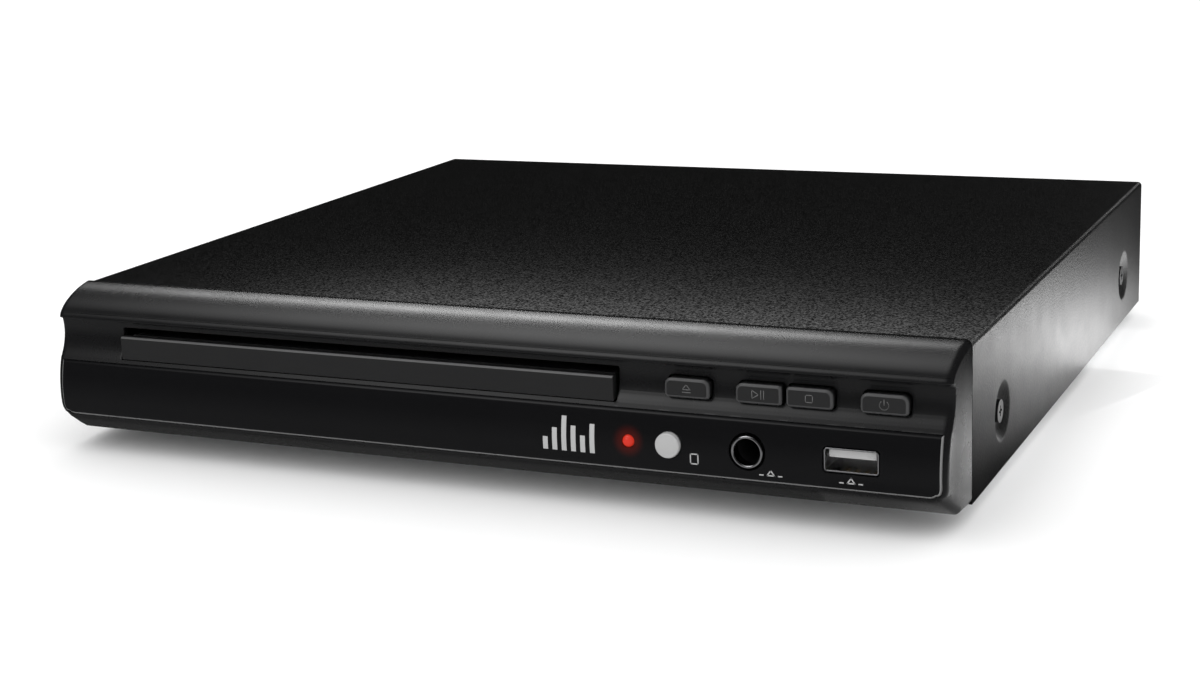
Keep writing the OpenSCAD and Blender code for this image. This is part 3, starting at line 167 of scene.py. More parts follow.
# %% World
world = bpy.data.worlds.new("studio")
world.use_nodes = True
sky = world.node_tree
sky.nodes.clear()
world_out = add_node(sky, "OutputWorld")
seen = add_node(sky, "Background", {"Color": pale, "Strength": 1.4})
mirrored = add_node(sky, "Background", {"Strength": 1.0})
direction = add_node(sky, "TexCoord")
parts = add_node(sky, "SeparateXYZ")
behind = add_node(sky, "MapRange", {"From Min": -0.2, "From Max": 0.2, "To Min": 0.18, "To Max": 0.05})
below = add_node(sky, "MapRange", {"From Min": 0.05, "From Max": -0.3})
room = add_node(sky, "Math", {2: 0.02}, operation="MULTIPLY_ADD")
ray = add_node(sky, "LightPath")
choose = add_node(sky, "MixShader")
wire(sky, (direction, "Generated", parts, "Vector"),
     (parts, "Y", behind, "Value"), (parts, "Z", below, "Value"),
     (behind, "Result", room, 0), (below, "Result", room, 1), (room, 0, mirrored, "Color"),
     (ray, "Is Glossy Ray", choose, 0), (seen, 0, choose, 1), (mirrored, 0, choose, 2),
     (choose, 0, world_out, "Surface"))
bpy.context.scene.world = world
world.cycles.sampling_method = "NONE"
bpy.context.scene.view_settings.view_transform = "Standard"
print("world nodes", len(sky.nodes))

# %% Glow cards
card_z = table_z + 0.0005
corner_glow = 0.12


def glow_card(name, centre, reach, strength, upright):
    """Adds a card that only mirrors see. Its glow is strongest at the centre and fades towards reach.
    A card on the floor keeps a little glow in its corners, because dark ones show in the front."""
    mesh = bmesh.new()
    bmesh.ops.create_grid(mesh, x_segments=1, y_segments=1, size=0.5)
    bmesh.ops.scale(mesh, vec=(2 * reach[0], 2 * reach[1], 1), verts=mesh.verts[:])
    if upright:
        quarter_turn = Matrix.Rotation(math.pi / 2, 3, "X")
        bmesh.ops.rotate(mesh, cent=(0, 0, 0), matrix=quarter_turn, verts=mesh.verts[:])
    bmesh.ops.translate(mesh, vec=centre, verts=mesh.verts[:])
    glow = new_material(name)
    tree = glow.node_tree
    tree.nodes.clear()
    spread = (reach[0], 1, reach[1]) if upright else (reach[0], reach[1], 1)
    place = add_node(tree, "TexCoord")
    fit = add_node(tree, "Mapping", vector_type="TEXTURE")
    fit.inputs["Location"].default_value = centre
    fit.inputs["Scale"].default_value = spread
    fade = add_node(tree, "TexGradient", gradient_type="SPHERICAL")
    least = corner_glow if centre[2] == card_z else 0.0
    soften = add_node(tree, "MapRange", {"To Min": least, "To Max": strength})
    soften.interpolation_type = "SMOOTHSTEP"
    light = add_node(tree, "Emission")
    result = add_node(tree, "OutputMaterial")
    wire(tree, (place, "Object", fit, "Vector"), (fit, "Vector", fade, "Vector"),
         (fade, "Fac", soften, "Value"), (soften, "Result", light, "Strength"), (light, 0, result, "Surface"))
    card = to_object(name, mesh, glow)
    card.visible_camera = False
    card.visible_diffuse = False
    card.visible_shadow = False
    return card


off_cover = bpy.data.collections.new("everything_but_the_cover")
off_front = bpy.data.collections.new("everything_but_the_front")
cards = (
    ("side_card", (0.158, 0.056, card_z), (0.056, 0.14), 7.0, False, off_front),
    ("fold_card", (0.22, 0.75, 0.245), (0.16, 0.07), 5.0, True, off_front),
    ("cheek_card", (0.150, -0.050, card_z), (0.06, 0.09), 1.75, False, off_cover),
    ("brow_line_card", (-0.20, 0.19, 0.33), (0.36, 0.05), 15.0, False, off_cover),
    ("brow_card", (-0.12, -0.06, 0.36), (0.36, 0.24), 2.0, False, off_cover),
    ("key_card", (-0.20, -0.48, 0.35), (0.35, 0.26), 2.2, False, None),
    ("rear_card", (-0.02, 0.170, card_z), (0.16, 0.08), 1.5, False, None),
)
for name, centre, reach, strength, upright, receivers in cards:
    card = glow_card(name, centre, reach, strength, upright)
    if receivers:
        card.light_linking.receiver_collection = receivers
print("glow cards", len(cards))

# %% Strip of light along the front
strip_data = bpy.data.lights.new("front_strip", "AREA")
strip_data.shape = "RECTANGLE"
strip_data.size = 0.2
strip_data.size_y = 0.01
strip_data.energy = 0.75
front_strip = bpy.data.objects.new("front_strip", strip_data)
front_strip.location = (0.05, -0.11, 0.085)
front_strip.visible_camera = False
front_strip.visible_glossy = False
bpy.context.collection.objects.link(front_strip)
lit_by_strip = bpy.data.collections.new("lit_by_strip")
front_strip.light_linking.receiver_collection = lit_by_strip
print("strip at", tuple(round(v, 3) for v in front_strip.location))

# %% [markdown]
# ## Sizes from the frame
#
# A maker who dresses a finished chassis measures it first. Every length that the CAD model already holds is
# read from a node's box, so the new skins keep fitting when the model changes. Only the small things that a
# box can't tell, such as a fold's radius, are written here as millimetres.

# %% Measures of the case and the front
def box_mm(node):
    low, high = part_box(node)
    return millimetres(low), millimetres(high)


def middle_x(node):
    low, high = box_mm(node)
    return (low[0] + high[0]) / 2


bezel_low, bezel_high = box_mm("front_bezel")
panel_box_low, panel_box_high = box_mm("lower_panel")
door_low, door_high = box_mm("tray_door")
half_w, cover_d, cover_h = box_mm("top_cover")[1]
front_d = -bezel_low[1]
brow_top = bezel_high[2]
seam = 0.3
sheet_t = 0.8
bow, bow_z = 0.0187, 11.5
panel_gap = 0.1
panel_low, panel_high = panel_box_low[2] - panel_gap, panel_box_high[2]
brow_h, channel_depth = 7.4, 1.5
channel_high = brow_top - brow_h
lip_y, brow_y = front_d - 4.4, front_d - 3.3
socket_z = 13.5
print("case", round(2 * half_w, 1), "by", round(cover_d, 1), "by", round(cover_h, 1))
print("front", round(front_d, 1))

# %% Curves of the front
def mix(a, b, t):
    return a + (b - a) * t


def face_y(z):
    """How far forward the bowed panel stands at height z."""
    return -front_d + bow * (z - bow_z) ** 2


def channel_y(t):
    """How far forward the channel stands, from the panel (t = 0) up to the brow (t = 1)."""
    return mix(face_y(panel_high), -lip_y, t) + channel_depth * 4 * t * (1 - t)


def bezier(points, t):
    a, b, c, d = points
    s = 1 - t
    return tuple(s ** 3 * a[i] + 3 * t * s * s * b[i] + 3 * t * t * s * c[i] + t ** 3 * d[i] for i in (0, 1))


print("panel's middle stands at", round(face_y(bow_z), 2))

# %% [markdown]
# ## Helpers for meshes
#
# Each piece is drawn in a bmesh, in metres, where it stands. `new_piece` turns it into an object at the
# origin and joins it to its body in the frame. The other helpers are the usual steps of such work: pull a
# line or a face out, cut a loop of edges, round edges, give a sheet its wall, and lean the normals towards
# the large faces, so that flats look flat.

# %% Helpers that shape a mesh
def near(value, target, reach=0.02):
    return abs(value - target) < reach


def faces_where(mesh, test):
    """Returns the faces whose middle passes a test of x, y and z."""
    return [f for f in mesh.faces if test(*millimetres(f.calc_center_median()))]


def border_where(mesh, test):
    """Returns the edges of openings whose points all pass a test of x, y and z."""
    return [e for e in mesh.edges if e.is_boundary and all(test(*millimetres(v.co)) for v in e.verts)]


def edges_at(mesh, x=None, y=None, z=None):
    """Returns the edges whose two points lie at the given x, y or z."""
    wanted = [(axis, value) for axis, value in enumerate((x, y, z)) if value is not None]
    return [e for e in mesh.edges
            if all(near(millimetres(v.co)[axis], value) for axis, value in wanted for v in e.verts)]


def only(kind, geometry):
    return [g for g in geometry if isinstance(g, kind)]


def pull(mesh, geometry, x=0, y=0, z=0):
    """Extrudes edges or faces, moves the new points and returns all that has grown."""
    if isinstance(geometry[0], bmesh.types.BMEdge):
        grown = bmesh.ops.extrude_edge_only(mesh, edges=geometry)["geom"]
    else:
        grown = bmesh.ops.extrude_face_region(mesh, geom=geometry)["geom"]
    bmesh.ops.translate(mesh, vec=(x * MM, y * MM, z * MM), verts=only(bmesh.types.BMVert, grown))
    return grown


def cut(mesh, axis, value):
    """Adds a loop of edges where the plane axis = value crosses the mesh."""
    place = at(*[value if i == axis else 0 for i in range(3)])
    normal = [1.0 if i == axis else 0.0 for i in range(3)]
    geometry = mesh.verts[:] + mesh.edges[:] + mesh.faces[:]
    bmesh.ops.bisect_plane(mesh, geom=geometry, dist=1e-7, plane_co=place, plane_no=normal)


def remove_faces(mesh, faces):
    bmesh.ops.delete(mesh, geom=faces, context="FACES")
    return len(faces)


def round_edges(mesh, edges, radius, segments):
    bmesh.ops.bevel(mesh, geom=edges, offset=radius * MM, offset_type="OFFSET", segments=segments,
                    profile=0.5, affect="EDGES", clamp_overlap=False, material=-1)


def close_up(mesh, gap):
    """Merges the doubles that are nearer than gap, in metres, and makes the normals agree."""
    bmesh.ops.remove_doubles(mesh, verts=mesh.verts[:], dist=gap)
    bmesh.ops.recalc_face_normals(mesh, faces=mesh.faces[:])


def face_outwards(mesh, outward, outer=lambda x, y, z: True):
    """Turns all faces round if those that outer picks look away from outward."""
    mesh.normal_update()
    if sum(f.normal.dot(outward) for f in faces_where(mesh, outer)) < 0:
        bmesh.ops.reverse_faces(mesh, faces=mesh.faces[:])


print("shaping helpers ready")

# %% Helpers that start a mesh
def line_mesh(points):
    """Starts a mesh with a line through points, each (x, y, z). Returns the mesh and the line's edges."""
    mesh = bmesh.new()
    line = [mesh.verts.new(at(*point)) for point in points]
    return mesh, [mesh.edges.new(pair) for pair in zip(line, line[1:])]


forward = Vector((0, -1, 0))


def spun(profile, centre, segments=48):
    """Turns a profile of (radius, distance forward) round an axis that points forward through centre."""
    side = forward.orthogonal().normalized()
    mesh = bmesh.new()
    points = [mesh.verts.new(centre + (forward * d + side * r) * MM) for r, d in profile]
    edges = [mesh.edges.new(pair) for pair in zip(points, points[1:])]
    bmesh.ops.spin(mesh, geom=points + edges, cent=centre, axis=forward, angle=math.tau, steps=segments,
                   use_merge=True)
    close_up(mesh, 1e-6)
    return mesh


def add_box(mesh, low, high):
    """Adds a block between two corners."""
    a, b = at(*low), at(*high)
    verts = bmesh.ops.create_cube(mesh, size=1.0)["verts"]
    bmesh.ops.scale(mesh, vec=b - a, verts=verts)
    bmesh.ops.translate(mesh, vec=(a + b) / 2, verts=verts)


def box_mesh(low, high):
    mesh = bmesh.new()
    add_box(mesh, low, high)
    return mesh


print("starting helpers ready")

# %% Helpers that finish a piece
def add_wall(piece, thickness):
    """Gives a sheet its thickness, inwards from the side that was drawn."""
    wall = piece.modifiers.new("wall", "SOLIDIFY")
    wall.thickness = thickness * MM
    wall.offset = -1


def soften_edges(piece, width, segments, angle=None):
    """Rounds the edges that are sharper than angle or, without one, those that were given a weight."""
    rounding = piece.modifiers.new("rounding", "BEVEL")
    rounding.width = width * MM
    rounding.segments = segments
    rounding.limit_method = "ANGLE" if angle else "WEIGHT"
    if angle:
        rounding.angle_limit = math.radians(angle)


def lean_normals(piece, weight, keep_sharp=False):
    lean = piece.modifiers.new("lean", "WEIGHTED_NORMAL")
    lean.keep_sharp = keep_sharp
    lean.weight = weight


def new_piece(name, mesh, material, body, node=None, edge=0.0, segments=2):
    """Makes a piece that rides on a body. It stands for a CAD node, if one is named."""
    piece = to_object(name, mesh, material)
    for polygon in piece.data.polygons:
        polygon.use_smooth = True
    if edge > 0:
        soften_edges(piece, edge, segments, angle=35)
        lean_normals(piece, 80, keep_sharp=True)
    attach(piece, body)
    if node:
        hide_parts(node)
    return piece


def leave_out(receivers, piece):
    """Takes a piece out of what the cards of a collection light."""
    receivers.objects.link(piece)
    receivers.collection_objects[0].light_linking.link_state = "EXCLUDE"


print("finishing helpers ready")

# %% [markdown]
# ## One group for every moulded, painted or rolled surface
#
# Real surfaces differ from a flat colour in three small ways: the tone drifts a little, the gloss drifts a
# little, and there is a fine grain. A node group makes all three from noise on Object coordinates, so each
# material only says how strong they are and at what size. The shader itself stays in the material.

# %% The surface group
def drifting_noise(tree, place, sockets):
    """Adds noise, and a node that takes a half away, so that its value swings round zero."""
    noise = add_node(tree, "TexNoise", sockets)
    swing = add_node(tree, "Math", {1: 0.5}, operation="SUBTRACT")
    wire(tree, (place, "Vector", noise, "Vector"), (noise, "Fac", swing, 0))
    return noise, swing


def make_surface_group():
    group = bpy.data.node_groups.new("surface", "ShaderNodeTree")
    for name, kind, way in (("Vector", "Vector", "INPUT"), ("Color", "Color", "INPUT"),
                            ("Tone Drift", "Float", "INPUT"), ("Roughness", "Float", "INPUT"),
                            ("Gloss Drift", "Float", "INPUT"), ("Grain Size", "Float", "INPUT"),
                            ("Grain Height", "Float", "INPUT"), ("Speckle", "Float", "INPUT"),
                            ("Color", "Color", "OUTPUT"), ("Roughness", "Float", "OUTPUT"),
                            ("Normal", "Vector", "OUTPUT")):
        group.interface.new_socket(name, in_out=way, socket_type="NodeSocket" + kind)
    source = group.nodes.new("NodeGroupInput")
    result = group.nodes.new("NodeGroupOutput")
    _, cloud = drifting_noise(group, source, {"Scale": 45, "Detail": 3})
    _, haze = drifting_noise(group, source, {"Scale": 110, "Detail": 4})
    grain, fleck = drifting_noise(group, source, {"Detail": 2})
    tone = add_node(group, "Math", {2: 1}, operation="MULTIPLY_ADD")
    gloss = add_node(group, "Math", operation="MULTIPLY_ADD", use_clamp=True)
    per_metre = add_node(group, "Math", {0: 1}, operation="DIVIDE")
    speckled = add_node(group, "Math", operation="MULTIPLY_ADD")
    least_tone = add_node(group, "Math", {1: 0.1}, operation="MAXIMUM")
    tinted = add_node(group, "VectorMath", operation="SCALE")
    relief = add_node(group, "Bump", {"Strength": 1})
    wire(group,
         (cloud, 0, tone, 0), (source, "Tone Drift", tone, 1),
         (haze, 0, gloss, 0), (source, "Gloss Drift", gloss, 1), (source, "Roughness", gloss, 2),
         (gloss, 0, result, "Roughness"),
         (source, "Grain Size", per_metre, 1), (per_metre, 0, grain, "Scale"),
         (fleck, 0, speckled, 0), (source, "Speckle", speckled, 1), (tone, 0, speckled, 2),
         (speckled, 0, least_tone, 0), (least_tone, 0, tinted, "Scale"), (source, "Color", tinted, 0),
         (tinted, "Vector", result, "Color"),
         (source, "Grain Height", relief, "Distance"), (grain, "Fac", relief, "Height"),
         (relief, "Normal", result, "Normal"))
    return group


surface_group = make_surface_group()
print("surface group has", len(surface_group.nodes), "nodes")

# %% Materials from the group
finishes = {}


def surface(name, colour, roughness, tone=0.15, gloss=0.08, grain_mm=0.3, height_mm=0.004, metallic=0.0,
            specular=0.5, speckle=0.0):
    """Makes a finish and keeps it by its name. tone, gloss and speckle say how far each drifts."""
    material = new_material(name)
    tree = material.node_tree
    shader = tree.nodes["Principled BSDF"]
    shader.inputs["Metallic"].default_value = metallic
    shader.inputs["Specular IOR Level"].default_value = specular
    place = add_node(tree, "TexCoord")
    values = {"Color": (*colour, 1), "Tone Drift": tone, "Roughness": roughness, "Gloss Drift": gloss,
              "Grain Size": grain_mm * MM, "Grain Height": height_mm * MM, "Speckle": speckle}
    detail = add_node(tree, "Group", values, name="detail", node_tree=surface_group)
    wire(tree, (place, "Object", detail, "Vector"), (detail, "Color", shader, "Base Color"),
         (detail, "Roughness", shader, "Roughness"), (detail, "Normal", shader, "Normal"))
    finishes[name] = material
    return material


black_plastic = surface("black_plastic", (0.0065, 0.0065, 0.007), 0.27, grain_mm=0.5, height_mm=0.002)
powder_coat = surface("powder_coat", (0.006, 0.006, 0.006), 0.45, grain_mm=0.6, height_mm=0.06, speckle=7.0)
gloss_panel = surface("gloss_panel", (0.005, 0.005, 0.0055), 0.16, specular=0.25, height_mm=0.0005)
door_plastic = surface("door_plastic", (0.014, 0.014, 0.0145), 0.42)
key_plastic = surface("key_plastic", (0.016, 0.016, 0.0165), 0.38, grain_mm=0.25, height_mm=0.002)
plating = surface("plating", (0.78, 0.78, 0.8), 0.16, metallic=1.0, height_mm=0.0003)
# Light grey: a painted highlight on the panel's rim.
painted_rim_highlight = surface("painted_rim_highlight", (0.2, 0.2, 0.2), 0.3, height_mm=0.0005)
# Lighter than the door: a painted highlight on its upper edge.
painted_door_highlight = surface("painted_door_highlight", (0.075, 0.075, 0.076), 0.36, height_mm=0.002)
# Lighter than the keys: a painted highlight on their rounded borders.
painted_key_highlight = surface("painted_key_highlight", (0.055, 0.055, 0.056), 0.34, grain_mm=0.25, height_mm=0.002)
key_print = surface("key_print", (0.11, 0.11, 0.11), 0.5, height_mm=0.0005)
pale_print = surface("pale_print", (0.4, 0.4, 0.4), 0.5, height_mm=0.0005)
print("materials", len(bpy.data.materials))

# %% [markdown]
# ## Polish and shine of the panel
#
# A polished panel isn't even: fine lines run along it from the mould, so its gloss changes every fraction of
# a millimetre in height. Noise that is stretched along X gives them. The status light also reddens the
# panel close to it, which is a faint glow that fades with the distance from the light.

# %% Fine lines along the panel
lines_per_metre = 2600
panel_tree = gloss_panel.node_tree
panel_shader = panel_tree.nodes["Principled BSDF"]
panel_place = add_node(panel_tree, "TexCoord")
streak_fit = add_node(panel_tree, "Mapping")
streak_fit.inputs["Scale"].default_value = (12, 60, lines_per_metre)
streak = add_node(panel_tree, "TexNoise", {"Scale": 1.0, "Detail": 2.0})
streak_gloss = add_node(panel_tree, "MapRange", {"From Min": 0.35, "From Max": 0.7,
                                                 "To Min": 0.13, "To Max": 0.24})
wire(panel_tree, (panel_place, "Object", streak_fit, "Vector"), (streak_fit, "Vector", streak, "Vector"),
     (streak, "Fac", streak_gloss, "Value"), (streak_gloss, "Result", panel_shader, "Roughness"))
print("fine lines every", round(1 / lines_per_metre / MM, 2), "mm")

# %% Red shine on the panel
light_x = middle_x("status_light")
shine_near, shine_far = 1.2, 4.8
light_centre = at(light_x, face_y(socket_z), socket_z)
shine_reach = add_node(panel_tree, "VectorMath", {1: light_centre}, operation="DISTANCE")
shine_fade = add_node(panel_tree, "MapRange", {"From Min": shine_near * MM, "From Max": shine_far * MM,
                                               "To Min": 0.045, "To Max": 0.0})
shine_fade.interpolation_type = "SMOOTHERSTEP"
panel_shader.inputs["Emission Color"].default_value = (1.0, 0.05, 0.01, 1)
wire(panel_tree, (panel_place, "Object", shine_reach, 0), (shine_reach, "Value", shine_fade, "Value"),
     (shine_fade, "Result", panel_shader, "Emission Strength"))
print("shine round the light reaches", shine_far, "mm")

# %% [markdown]
# ## The cover
#
# The real cover is one sheet of steel, folded down at both sides and at the back, powder coated. The dishes
# for the side screws are pressed in. It starts as the folded line of its front edge, which is pulled back
# along the case. Around each dish the flat side is cut open, and rings of edges go in to the dish's floor.

# %% Folded sheet
fold_r, fold_steps = 1.2, 6
lip_h = 8
rear_fold_d = 0.6
rear_fold_steps = ((0.35, -0.1), (0.2, -0.25), (0.05, -0.45), (0, 0.8 - lip_h))


def fold_point(side, turn):
    """Returns the place on the fold at one side of the cover, turn radians up from the side's flat."""
    x = half_w - fold_r + fold_r * math.cos(turn)
    return (side * x, 0, cover_h - fold_r + fold_r * math.sin(turn))


turns = [math.pi / 2 * step / fold_steps for step in range(fold_steps + 1)]
section = [(-half_w, 0, 0)] + [fold_point(-1, turn) for turn in turns]
section += [fold_point(1, turn) for turn in reversed(turns)] + [(half_w, 0, 0)]
cover, front_line = line_mesh(section)
pull(cover, front_line, y=cover_d - rear_fold_d)
rear = edges_at(cover, y=cover_d - rear_fold_d, z=cover_h)
for move_y, move_z in rear_fold_steps:
    grown = pull(cover, rear, y=move_y, z=move_z)
    rear = [e for e in only(bmesh.types.BMEdge, grown) if near(e.verts[0].co.z, e.verts[1].co.z, 1e-6)]
print("folded sheet faces", len(cover.faces))

# %% Notch for the rear sockets
block_low, block_high = box_mm("av_socket_block")
cut(cover, 0, block_low[0])
cut(cover, 0, block_high[0])
cut(cover, 2, block_high[2])
notch = faces_where(cover, lambda x, y, z: y > cover_d - 0.1 and block_low[0] < x < block_high[0] and
                    z < block_high[2])
print("notch", remove_faces(cover, notch))

# %% Pressed dishes
side_screw_z = 14.5
side_screw_y = (29, cover_d - 29)
dish_rows = ((7.9, 0), (7.5, 0.06), (7.1, 0.22), (6.4, 0.62), (5.6, 1.1), (4.8, 1.55), (4.1, 1.86),
             (3.5, 2.0), (1.75, 2.0))
dish_sides = 32
patch = 9


def patch_rim(side, patch_y):
    """Returns the edges round the square opening for one dish."""
    return border_where(cover, lambda x, y, z: near(x, side * half_w) and near(y, patch_y, patch + 0.01) and
                        0.5 < z < cover_h - 3)


def press_dish(side, dish_y):
    """Cuts a square out of the flat side and fills it with the rings of a dish, drawn inwards."""
    for axis, middle in ((1, dish_y), (2, side_screw_z)):
        cut(cover, axis, middle - patch)
        cut(cover, axis, middle + patch)
    square = faces_where(cover, lambda x, y, z: near(x, side * half_w) and near(y, dish_y, patch) and
                         near(z, side_screw_z, patch))
    remove_faces(cover, square)
    bmesh.ops.subdivide_edges(cover, edges=patch_rim(side, dish_y), cuts=dish_sides // 4 - 1)
    centre = at(side * half_w, dish_y, side_screw_z)
    sideways = Matrix.Rotation(math.pi / 2, 4, "Y")
    from_corner = Matrix.Rotation(math.pi / 4, 4, "Z")
    place = Matrix.Translation(centre) @ sideways @ from_corner
    ring = bmesh.ops.create_circle(cover, cap_ends=False, segments=dish_sides, radius=dish_rows[0][0] * MM,
                                   matrix=place)["verts"]
    loop = list({e for v in ring for e in v.link_edges})
    bmesh.ops.bridge_loops(cover, edges=patch_rim(side, dish_y) + loop)
    for (r0, d0), (r1, d1) in zip(dish_rows, dish_rows[1:]):
        grown = pull(cover, loop)
        points = only(bmesh.types.BMVert, grown)
        bmesh.ops.scale(cover, vec=(1, r1 / r0, r1 / r0), verts=points, space=Matrix.Translation(-centre))
        bmesh.ops.translate(cover, vec=(-side * (d1 - d0) * MM, 0, 0), verts=points)
        loop = [e for e in only(bmesh.types.BMEdge, grown) if e.is_boundary]


for side in (-1, 1):
    for y in side_screw_y:
        press_dish(side, y)
print("faces with the dishes", len(cover.faces))

# %% Thickness and hem of the cover
close_up(cover, 1e-6)
face_outwards(cover, Vector((0, 0, 1)), outer=lambda x, y, z: near(z, cover_h))
cover_piece = new_piece("cover_sheet", cover, powder_coat, "root", "top_cover")
add_wall(cover_piece, sheet_t)
soften_edges(cover_piece, 0.15, 2, angle=50)
lean_normals(cover_piece, 80)
lit_by_strip.objects.link(cover_piece)
leave_out(off_cover, cover_piece)
print("cover faces", len(cover_piece.data.polygons))

# %% [markdown]
# ## The front moulding
#
# The front is one injection moulding. Its side view is the same almost all along: a chamfer underneath, a
# slightly bowed panel, a hollow channel and a brow. So it starts as a solid pulled out along X from that
# outline. The ends are then rounded, the lower corners are drawn in, and the holes are cut where the loops of
# edges for them cross.

# %% Moulding outline
chamfer_y = 8
brow_curve = [(-brow_y, channel_high), (-brow_y + 0.4, channel_high + 2.9), (-brow_y * 0.56, brow_top - 1),
              (-seam, brow_top)]
brow_lip = [(-brow_y + 0.42, channel_high), (-brow_y + 0.2, channel_high + 0.04),
            (-brow_y + 0.06, channel_high + 0.16)]
face_rows, channel_rows, brow_rows = 14, 12, 20
outline = [(-seam, 0), (-chamfer_y, 0), (face_y(panel_low) + 1.2, panel_low - 1.5)]
for row in range(face_rows + 1):
    z = mix(panel_low - 0.5, panel_high, row / face_rows)
    outline.append((face_y(z), z))
for row in range(1, channel_rows + 1):
    share = row / channel_rows
    outline.append((channel_y(share), mix(panel_high, channel_high, share)))
outline += brow_lip + [bezier(brow_curve, row / brow_rows) for row in range(1, brow_rows + 1)]
print("outline points", len(outline))

# %% Moulding pulled out and its ends rounded
end_round = 1.7
end_taper = 1.2
end_steps = 7
brow_start = channel_high + 0.4


def cut_both_ends(mesh, distances):
    """Adds loops of edges at the same distances from both ends of the front."""
    for distance in distances:
        cut(mesh, 0, half_w - distance)
        cut(mesh, 0, distance - half_w)


moulding = bmesh.new()
profile = moulding.faces.new([moulding.verts.new(at(-half_w, y, z)) for y, z in outline])
pull(moulding, [profile], x=2 * half_w)
bmesh.ops.recalc_face_normals(moulding, faces=moulding.faces[:])
end_turns = [math.pi / 2 * step / end_steps for step in range(1, end_steps + 1)]
cut_both_ends(moulding, [end_round * (1 - math.cos(turn)) for turn in end_turns])
for v in moulding.verts:
    x, y, z = millimetres(v.co)
    inset = max(0, end_round - half_w + abs(x))
    drop = end_round - math.sqrt(max(0, end_round ** 2 - inset ** 2))
    y = -seam + (y + seam) * (1 - drop / front_d)
    z -= drop * max(0, (z - brow_start) / (brow_top - brow_start))
    z += drop * max(0, 1 - z / panel_low)
    v.co = at(math.copysign(abs(x) - end_taper * max(0, -y) / front_d, x), y, z)
print("moulding faces", len(moulding.faces))

# %% Tongue that slips into the cover
tongue_gap = 1.0
tongue_d = 3
tongue_play = 0.15
rear_faces = [f for f in moulding.faces if all(near(millimetres(v.co)[1], -seam) for v in f.verts)]
bmesh.ops.inset_region(moulding, faces=rear_faces, thickness=tongue_gap * MM, use_even_offset=True)
for v in {v for f in rear_faces for v in f.verts}:
    x, y, z = millimetres(v.co)
    v.co = at(x, y, min(z, cover_h - sheet_t - tongue_play))
back_faces = only(bmesh.types.BMFace, pull(moulding, rear_faces, y=tongue_d))
print("tongue", len(rear_faces), "faces removed", remove_faces(moulding, back_faces + rear_faces))

# %% [markdown]
# ## Holes with round corners
#
# Planes that cross the whole moulding mark each hole, and the faces between them are taken out. Extra loops
# near a corner let it be rounded: a point at the square's edge slides onto the circle of the same size, and
# the slide fades out a little way from the hole. The lower front corners of the whole front are drawn in by
# the same rule, so the panel's corners come out with an even frame round them.

# %% Rounding by sliding points
def surface_y(z):
    if z <= panel_high:
        return face_y(z)
    return channel_y(min(1, (z - panel_high) / (channel_high - panel_high)))


def slide_round(mesh, corner, inward, radius, fade=1.9, strength=None):
    """Slides the front's points round a hole's corner. inward holds the signs that point into the hole."""
    for v in mesh.verts:
        x, y, z = millimetres(v.co)
        u = 1 - (x - corner[0]) * inward[0] / radius
        w = 1 - (z - corner[1]) * inward[1] / radius
        if y > -chamfer_y or u <= 0 or w <= 0:
            continue
        far = max(u, w)
        if far >= fade:
            continue
        turn = math.pi / 4 * (w / u if u >= w else 2 - u / w)
        amount = 1 if far <= 1 else 1 - (far - 1) / (fade - 1)
        if strength:
            amount *= strength(y)
        new_u, new_w = mix(u, far * math.cos(turn), amount), mix(w, far * math.sin(turn), amount)
        new_x = corner[0] + (1 - new_u) * radius * inward[0]
        new_z = corner[1] + (1 - new_w) * radius * inward[1]
        v.co = at(new_x, y + surface_y(new_z) - surface_y(z), new_z)


print("corner helper ready")

# %% Lower corners of the front
corner_reach = 4.4
corner_low = panel_low - 1.5
front_half = half_w - end_taper * 0.98
blend_d = 6


def drawn_in(y):
    """Returns how much of the corner's rounding a point at depth y takes: none behind the chamfer."""
    return min(1, max(0, (-y - chamfer_y) / blend_d))


def draw_in_corners(mesh):
    for side in (-1, 1):
        slide_round(mesh, (side * front_half, corner_low), (-side, 1), corner_reach, fade=2.4,
                    strength=drawn_in)


print("corners drawn in over", corner_reach, "mm")

# %% Holes in the moulding
key_names = ("eject_key", "play_key", "stop_key", "power_key")
key_middles = [middle_x(name) for name in key_names]
key_w, key_h, key_z = 11.4, 4.8, 27.0
key_gap = 0.25
slot = (door_low[0] - 0.7, door_low[2] - 0.2, door_high[0] + 0.7, channel_high - 1.7)
window = (panel_box_low[0] - panel_gap, panel_low, panel_box_high[0] + panel_gap, panel_high)
key_holes = [(x - key_w / 2 - key_gap, key_z - key_h / 2 - key_gap, x + key_w / 2 + key_gap,
              key_z + key_h / 2 + key_gap) for x in key_middles]
slot_r, small_r, big_r = 0.7, 0.95, 1.8
key_corner_r = {"eject_key": (big_r, big_r), "play_key": (big_r, small_r), "stop_key": (small_r, big_r),
                "power_key": (big_r, big_r)}
corner_loops = (0, 0.3, 0.6, 1, -0.8)
front_only_y = -10


def open_hole(mesh, hole):
    """Takes out the front's faces inside a hole (x0, z0, x1, z1) whose loops of edges are there."""
    x0, z0, x1, z1 = hole
    inside = faces_where(mesh, lambda x, y, z: x0 < x < x1 and z0 < z < z1 and y < front_only_y)
    return remove_faces(mesh, inside)


def cut_hole(mesh, hole, radii):
    """Cuts a round-cornered hole. Its radii go lower left, lower right, upper left, upper right."""
    x0, z0, x1, z1 = hole
    corners = (((x0, z0), (1, 1)), ((x1, z0), (-1, 1)), ((x0, z1), (1, -1)), ((x1, z1), (-1, -1)))
    for ((x, z), (sx, sz)), radius in zip(corners, radii):
        for share in corner_loops:
            cut(mesh, 0, x + share * radius * sx)
            cut(mesh, 2, z + share * radius * sz)
    count = open_hole(mesh, hole)
    for (corner, inward), radius in zip(corners, radii):
        slide_round(mesh, corner, inward, radius)
    return count


